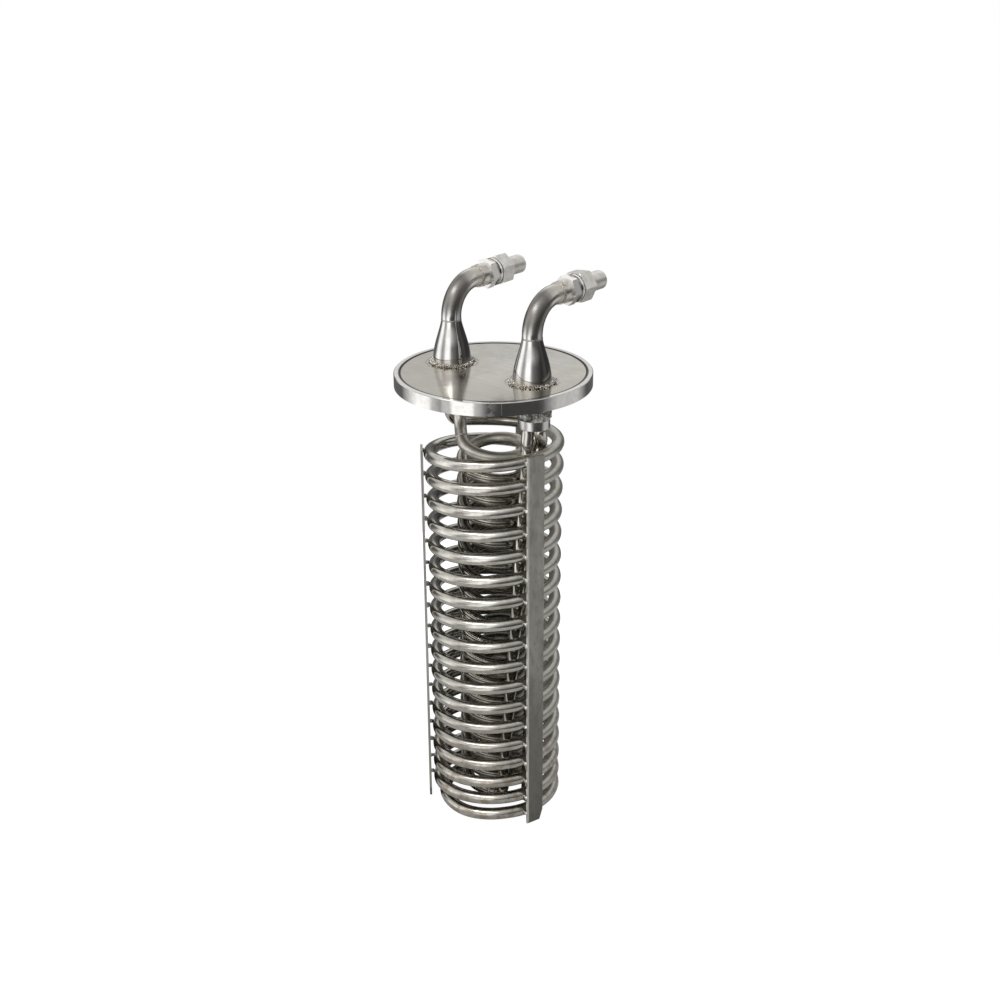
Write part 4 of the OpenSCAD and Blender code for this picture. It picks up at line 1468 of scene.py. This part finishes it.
@dataclass
class Cage:
    """Three flat bars and the tack welds that tie every turn to them."""

    route: Route
    strip_t: float = 3.0
    strip_gap: float = 0.4
    tack_half: tuple[float, float] = (2.6, 3.1)
    tack_sunk: float = 1.2
    tack_in: float = 0.6
    tack_cover: float = 0.75
    dent: float = 0.35
    dent_size: float = 3.4
    rows: int = 9
    cols: int = 14

    def build(self) -> None:
        """Dresses the bars and sets one lumpy tack at each crossing."""
        for name, finish in BARS.items():
            dress(name, finish)
        r = self.route
        bearings = [STRIP_A0 - STRIP_STEP * i for i in range(len(BARS))]
        rows = [np.arange(((r.outer_a0 - a) / 360.0) % 1.0, r.tail_s, 1.0) for a in bearings]
        strip_in = float(r.outer_rad(rows[0][0])) + TUBE_R + self.strip_gap
        a = np.repeat(bearings, [len(row) for row in rows])
        tacks = self._tacks(np.concatenate(rows), a, strip_in)
        tacks.piece("tack_beads", TACK, Slot.WELD, ["tack_welds"])

    def _tacks(self, s: Array, a: Array, strip_in: float) -> Shell:
        """Lumpy blobs, one a crossing: a sphere in two angles, squashed and dented.

        Args:
            s: turns wound at each crossing.
            a: direction of the bar at each crossing, in degrees.
            strip_in: distance of the bars' inner faces from the axis.
        Returns:
            All blobs as one shell.
        """
        rng = np.random.default_rng(11)
        count = len(s)
        out, side = polar(1.0, a, 0.0), polar(1.0, a - 90.0, 0.0)
        edge = STRIP_W / 2 - self.tack_in
        near = np.sqrt((self.route.outer_rad(s) + TUBE_R) ** 2 - edge**2) - self.tack_sunk
        far = strip_in + self.strip_t * self.tack_cover + rng.uniform(-0.5, 0.6, count)
        mid = out * ((near + far) / 2)[:, None] + side * edge + Z_AXIS * self.route.outer_z(s)[:, None]
        size = rng.uniform(0.85, 1.2, (count, 2))
        u = np.linspace(0.0, math.pi, self.rows)[1:-1][None, :, None]
        v = (np.arange(self.cols) * TAU / self.cols)[None, None, :]
        ball = np.stack(np.broadcast_arrays(
            np.cos(u) + 0 * v, np.sin(u) * np.cos(v), np.sin(u) * np.sin(v)), -1)
        ball = np.concatenate([ball.reshape(-1, 3), [X_AXIS, -X_AXIS]])[None]
        reach = ((far - near) / 2)[:, None]
        at = (
            mid[:, None]
            + (ball[..., 0] * reach)[..., None] * out[:, None]
            + (ball[..., 1] * self.tack_half[0] * size[:, :1])[..., None] * side[:, None]
            + (ball[..., 2] * self.tack_half[1] * size[:, 1:])[..., None] * Z_AXIS
        )
        at = at + self.dent * waves(at, 31, self.dent_size)[..., None] * unit(at - mid[:, None])
        rows, cols = self.rows - 2, self.cols
        quads = grid_quads(rows, cols, False, True)
        hub = rows * cols
        tris = np.concatenate([fan(hub, 0, cols, True), fan(hub + 1, hub - cols, cols)])
        start = (np.arange(count) * (hub + 2))[:, None, None]
        return Shell(
            at.reshape(-1, 3), (quads[None] + start).reshape(-1, 4), (tris[None] + start).reshape(-1, 3)
        )


# ---------------------------------------------------------------- studio


@dataclass
class Studio:
    """Camera, pale floor, soft lamps and a room that is bright on one side."""

    place: Triple = (1162.9, -1371.2, 600.9)
    focal: float = 54.153
    sensor: float = 36.0
    clip: tuple[float, float] = (0.05, 100.0)
    pitch: float = 0.4001
    yaw: float = 0.0041
    roll: float = -0.0059
    port_turn: float = -40.3
    floor_z: float = -601.78
    floor_r: float = 0.9
    floor_rings: Triple = (0.1, 0.25, 0.5)
    floor_tone: Colour = (0.50, 0.50, 0.49)
    floor_sides: int = 96
    floor_rough: float = 0.9
    floor_glow: float = 0.78
    floor_white: float = 1.25
    lamp_aim: Triple = (0.0, 0.0, -0.2)
    room_level: float = 1.4
    walls: Stops = (
        (-180.0, 0.10), (-140.0, 0.10), (-118.0, 0.10), (-106.0, 0.70), (-90.0, 1.0), (-76.0, 0.75),
        (-64.0, 0.28), (-50.0, 0.40), (-38.0, 0.95), (-20.0, 1.0), (-12.0, 0.80), (-4.0, 0.26),
        (8.0, 0.12), (32.0, 0.06), (62.0, 0.05), (84.0, 0.10), (102.0, 0.05), (140.0, 0.05),
        (180.0, 0.10),
    )
    ground: Stops = (
        (-180.0, 0.10), (-130.0, 0.10), (-110.0, 0.60), (-98.0, 1.0), (-80.0, 0.95), (-74.0, 0.48),
        (-63.0, 0.29), (-60.0, 0.48), (-51.0, 0.52), (-47.0, 1.0), (-24.0, 1.0), (-21.0, 0.52),
        (-14.0, 0.34), (-7.0, 0.08), (10.0, 0.045), (52.0, 0.05), (58.0, 0.08), (65.0, 0.22),
        (78.0, 0.46), (112.0, 0.48), (124.0, 0.24), (134.0, 0.08), (180.0, 0.10),
    )
    upper: Stops = (
        (-180.0, 0.72), (-150.0, 0.62), (-110.0, 0.60), (-80.0, 0.90), (-60.0, 0.60),
        (-38.0, 0.80), (-14.0, 0.90), (4.0, 0.50), (24.0, 0.25), (60.0, 0.20), (84.0, 0.42),
        (102.0, 0.55), (126.0, 0.42), (154.0, 0.60), (180.0, 0.72),
    )
    ceiling: Stops = (
        (-180.0, 0.40), (-120.0, 0.40), (-60.0, 0.60), (0.0, 0.60), (60.0, 0.42), (120.0, 0.40),
        (180.0, 0.40),
    )
    pane: tuple[float, float, float, float, float] = (-45.0, 56.0, 0.56, 0.14, 7.0)
    lamps: tuple[tuple[str, Triple, tuple[float, float], float], ...] = (
        ("key", (-0.35, -0.75, 1.75), (1.5, 0.6), 8.0),
        ("side", (-1.7, -0.3, 0.9), (0.5, 1.2), 3.5),
        ("back", (0.4, 1.2, 1.7), (1.4, 0.8), 3.5),
    )

    def turned(self, v: Array | Triple) -> Array:
        """A direction or place given as seen from the front, turned into the CAD's frame."""
        c, s = math.cos(math.radians(self.port_turn)), math.sin(math.radians(self.port_turn))
        return np.array([[c, s, 0.0], [-s, c, 0.0], [0.0, 0.0, 1.0]]) @ v

    def heading(self) -> tuple[Array, Array, Array]:
        """The camera's right, up and forward directions in the CAD's frame."""
        cp, sp = math.cos(self.yaw), math.sin(self.yaw)
        cd, sd = math.cos(self.pitch), math.sin(self.pitch)
        forward = np.array([sp * cd, cp * cd, -sd])
        right = np.array([cp, -sp, 0.0])
        up = np.cross(right, forward)
        cr, sr = math.cos(self.roll), math.sin(self.roll)
        return self.turned(cr * right + sr * up), self.turned(cr * up - sr * right), self.turned(forward)

    def camera(self) -> None:
        """Makes the camera and sets it as the scene's own."""
        right, up, forward = self.heading()
        data = bpy.data.cameras.new("camera")
        data.lens, data.sensor_width = self.focal, self.sensor
        data.clip_start, data.clip_end = self.clip
        cam = bpy.data.objects.new("camera", data)
        turn = Matrix(np.stack([right, up, -forward], 1).tolist()).to_4x4()
        turn.translation = [v * MM for v in self.place]
        cam.matrix_world = turn
        bpy.context.scene.collection.objects.link(cam)
        bpy.context.scene.camera = cam

    def floor(self) -> None:
        """A pale disc at the feet, seen as white but for the shadow."""
        sides, middle = self.floor_sides, Z_AXIS * self.floor_z * MM
        r = np.array([*self.floor_rings, self.floor_r])[:, None, None]
        points = (r * circle(sides, X_AXIS, Y_AXIS) + middle).reshape(-1, 3)
        quads = grid_quads(len(r), sides, False, True)[:, ::-1]
        tris = fan(len(points), 0, sides)
        mesh = bpy.data.meshes.new("floor")
        mesh.from_pydata([*points.tolist(), middle.tolist()], [], quads.tolist() + tris.tolist())
        obj = bpy.data.objects.new("floor", mesh)
        bpy.context.scene.collection.objects.link(obj)
        g = Graph("floor")
        g.shader.inputs["Base Color"].default_value = (*self.floor_tone, 1.0)
        g.shader.inputs["Roughness"].default_value = self.floor_rough
        fade = (g.from_axis(0.0, 0.0) * MM).step(0.45 * self.floor_r, 0.95 * self.floor_r)
        glow = {"Color": (1.0, 1.0, 1.0), "Strength": self.floor_white}
        white = g.node("ShaderNodeEmission", None, glow)
        seen = g.ray("Is Camera Ray") * (self.floor_glow + (1.0 - self.floor_glow) * fade)
        both = g.node("ShaderNodeMixShader", None, {0: seen, 1: g.shader.outputs[0], 2: white})
        g.feed(g.tree.nodes["Material Output"].inputs["Surface"], both)
        mesh.materials.append(g.material)

    def lamp(self, name: str, at: Triple, size: tuple[float, float], power: float) -> None:
        """A soft rectangular lamp that faces the object's middle.

        Args:
            name: the lamp's name.
            at: its place right of, behind and above the object as the camera sees it, in metres.
            size: its width and height, in metres.
            power: its power in watts.
        """
        data = bpy.data.lights.new(name, "AREA")
        data.shape, data.size, data.size_y, data.energy = "RECTANGLE", size[0], size[1], power
        obj = bpy.data.objects.new(name, data)
        spot = self.turned(at)
        away = Vector((spot - self.lamp_aim).tolist())
        turn = away.to_track_quat("Z", "Y").to_matrix().to_4x4()
        obj.matrix_world = Matrix.Translation(spot.tolist()) @ turn
        obj.visible_glossy = False
        bpy.context.scene.collection.objects.link(obj)

    def world(self) -> None:
        """A room by direction: bright on the left, dark on the right, white where seen.

        The bearing is 0 towards the camera and grows to the right. One ramp over it
        gives the walls, one the floor beyond the disc, one the walls' upper part and one
        the ceiling, and they are mixed by the sine of the elevation. A soft bright pane
        overhead lights the tubes' upper sides: its brightness falls off smoothly with the
        sines of the angles from its middle, sideways and upward.
        """
        world = bpy.data.worlds.new("surround")
        bpy.context.scene.world = world
        world.use_nodes = True
        t = Tree(world.node_tree)
        x, y, z = t.split(t.node("ShaderNodeTexCoord", None, None, "Generated"))
        _, _, forward = self.heading()
        flat = unit(forward * LEVEL)
        ahead = x * float(flat[0]) + y * float(flat[1])
        right = x * float(flat[1]) - y * float(flat[0])
        bearing = right.fn("ARCTAN2", -ahead) / TAU + 0.5

        def ring(stops: Stops) -> Val:
            """A grey ramp over bearings in degrees."""
            return t.ramp(bearing, [(a / 360.0 + 0.5, (v, v, v)) for a, v in stops])

        low = t.mix(z.step(-0.26, -0.08), ring(self.ground), ring(self.walls))
        low = t.mix(z.step(0.16, 0.36), low, ring(self.upper))
        lit = t.mix(z.step(0.5, 0.8), low, ring(self.ceiling))
        side, lift, wide, high, level = self.pane
        b, e = math.radians(side), math.radians(lift)
        off = right * math.cos(b) + ahead * math.sin(b)
        climb = z * math.cos(e) + (ahead * math.cos(b) - right * math.sin(b)) * math.sin(e)
        lit = t.mix(off.bump(0.0, wide) * climb.bump(0.0, high) * z.step(0.0, 0.3), lit, (level,) * 3)
        seen = t.ray("Is Camera Ray").fn("MAXIMUM", t.ray("Is Transmission Ray"))
        room = t.node("ShaderNodeBackground", None, {"Color": lit, "Strength": self.room_level})
        white = t.node("ShaderNodeBackground", None, {"Color": (1.0, 1.0, 1.0), "Strength": 1.0})
        both = t.node("ShaderNodeMixShader", None, {0: seen, 1: room, 2: white})
        t.feed(t.tree.nodes["World Output"].inputs["Surface"], both)

    def build(self) -> None:
        """Sets the stage."""
        scene = bpy.context.scene
        scene.view_settings.view_transform = "Standard"
        self.camera()
        self.floor()
        for lamp in self.lamps:
            self.lamp(*lamp)
        self.world()
        LOG.info("studio ready")


def main() -> None:
    """Sets the stage and builds every sub-assembly in order."""
    logging.basicConfig(level=logging.INFO, format="%(name)s %(message)s")
    Studio().build()
    Lid().build()
    for side in Side:
        Gooseneck(side).build()
        PipeUnion(side).build()
        Header(side).build()
    route = Route()
    Coils(route).build()
    Cage(route).build()


if __name__ == "__main__":
    main()
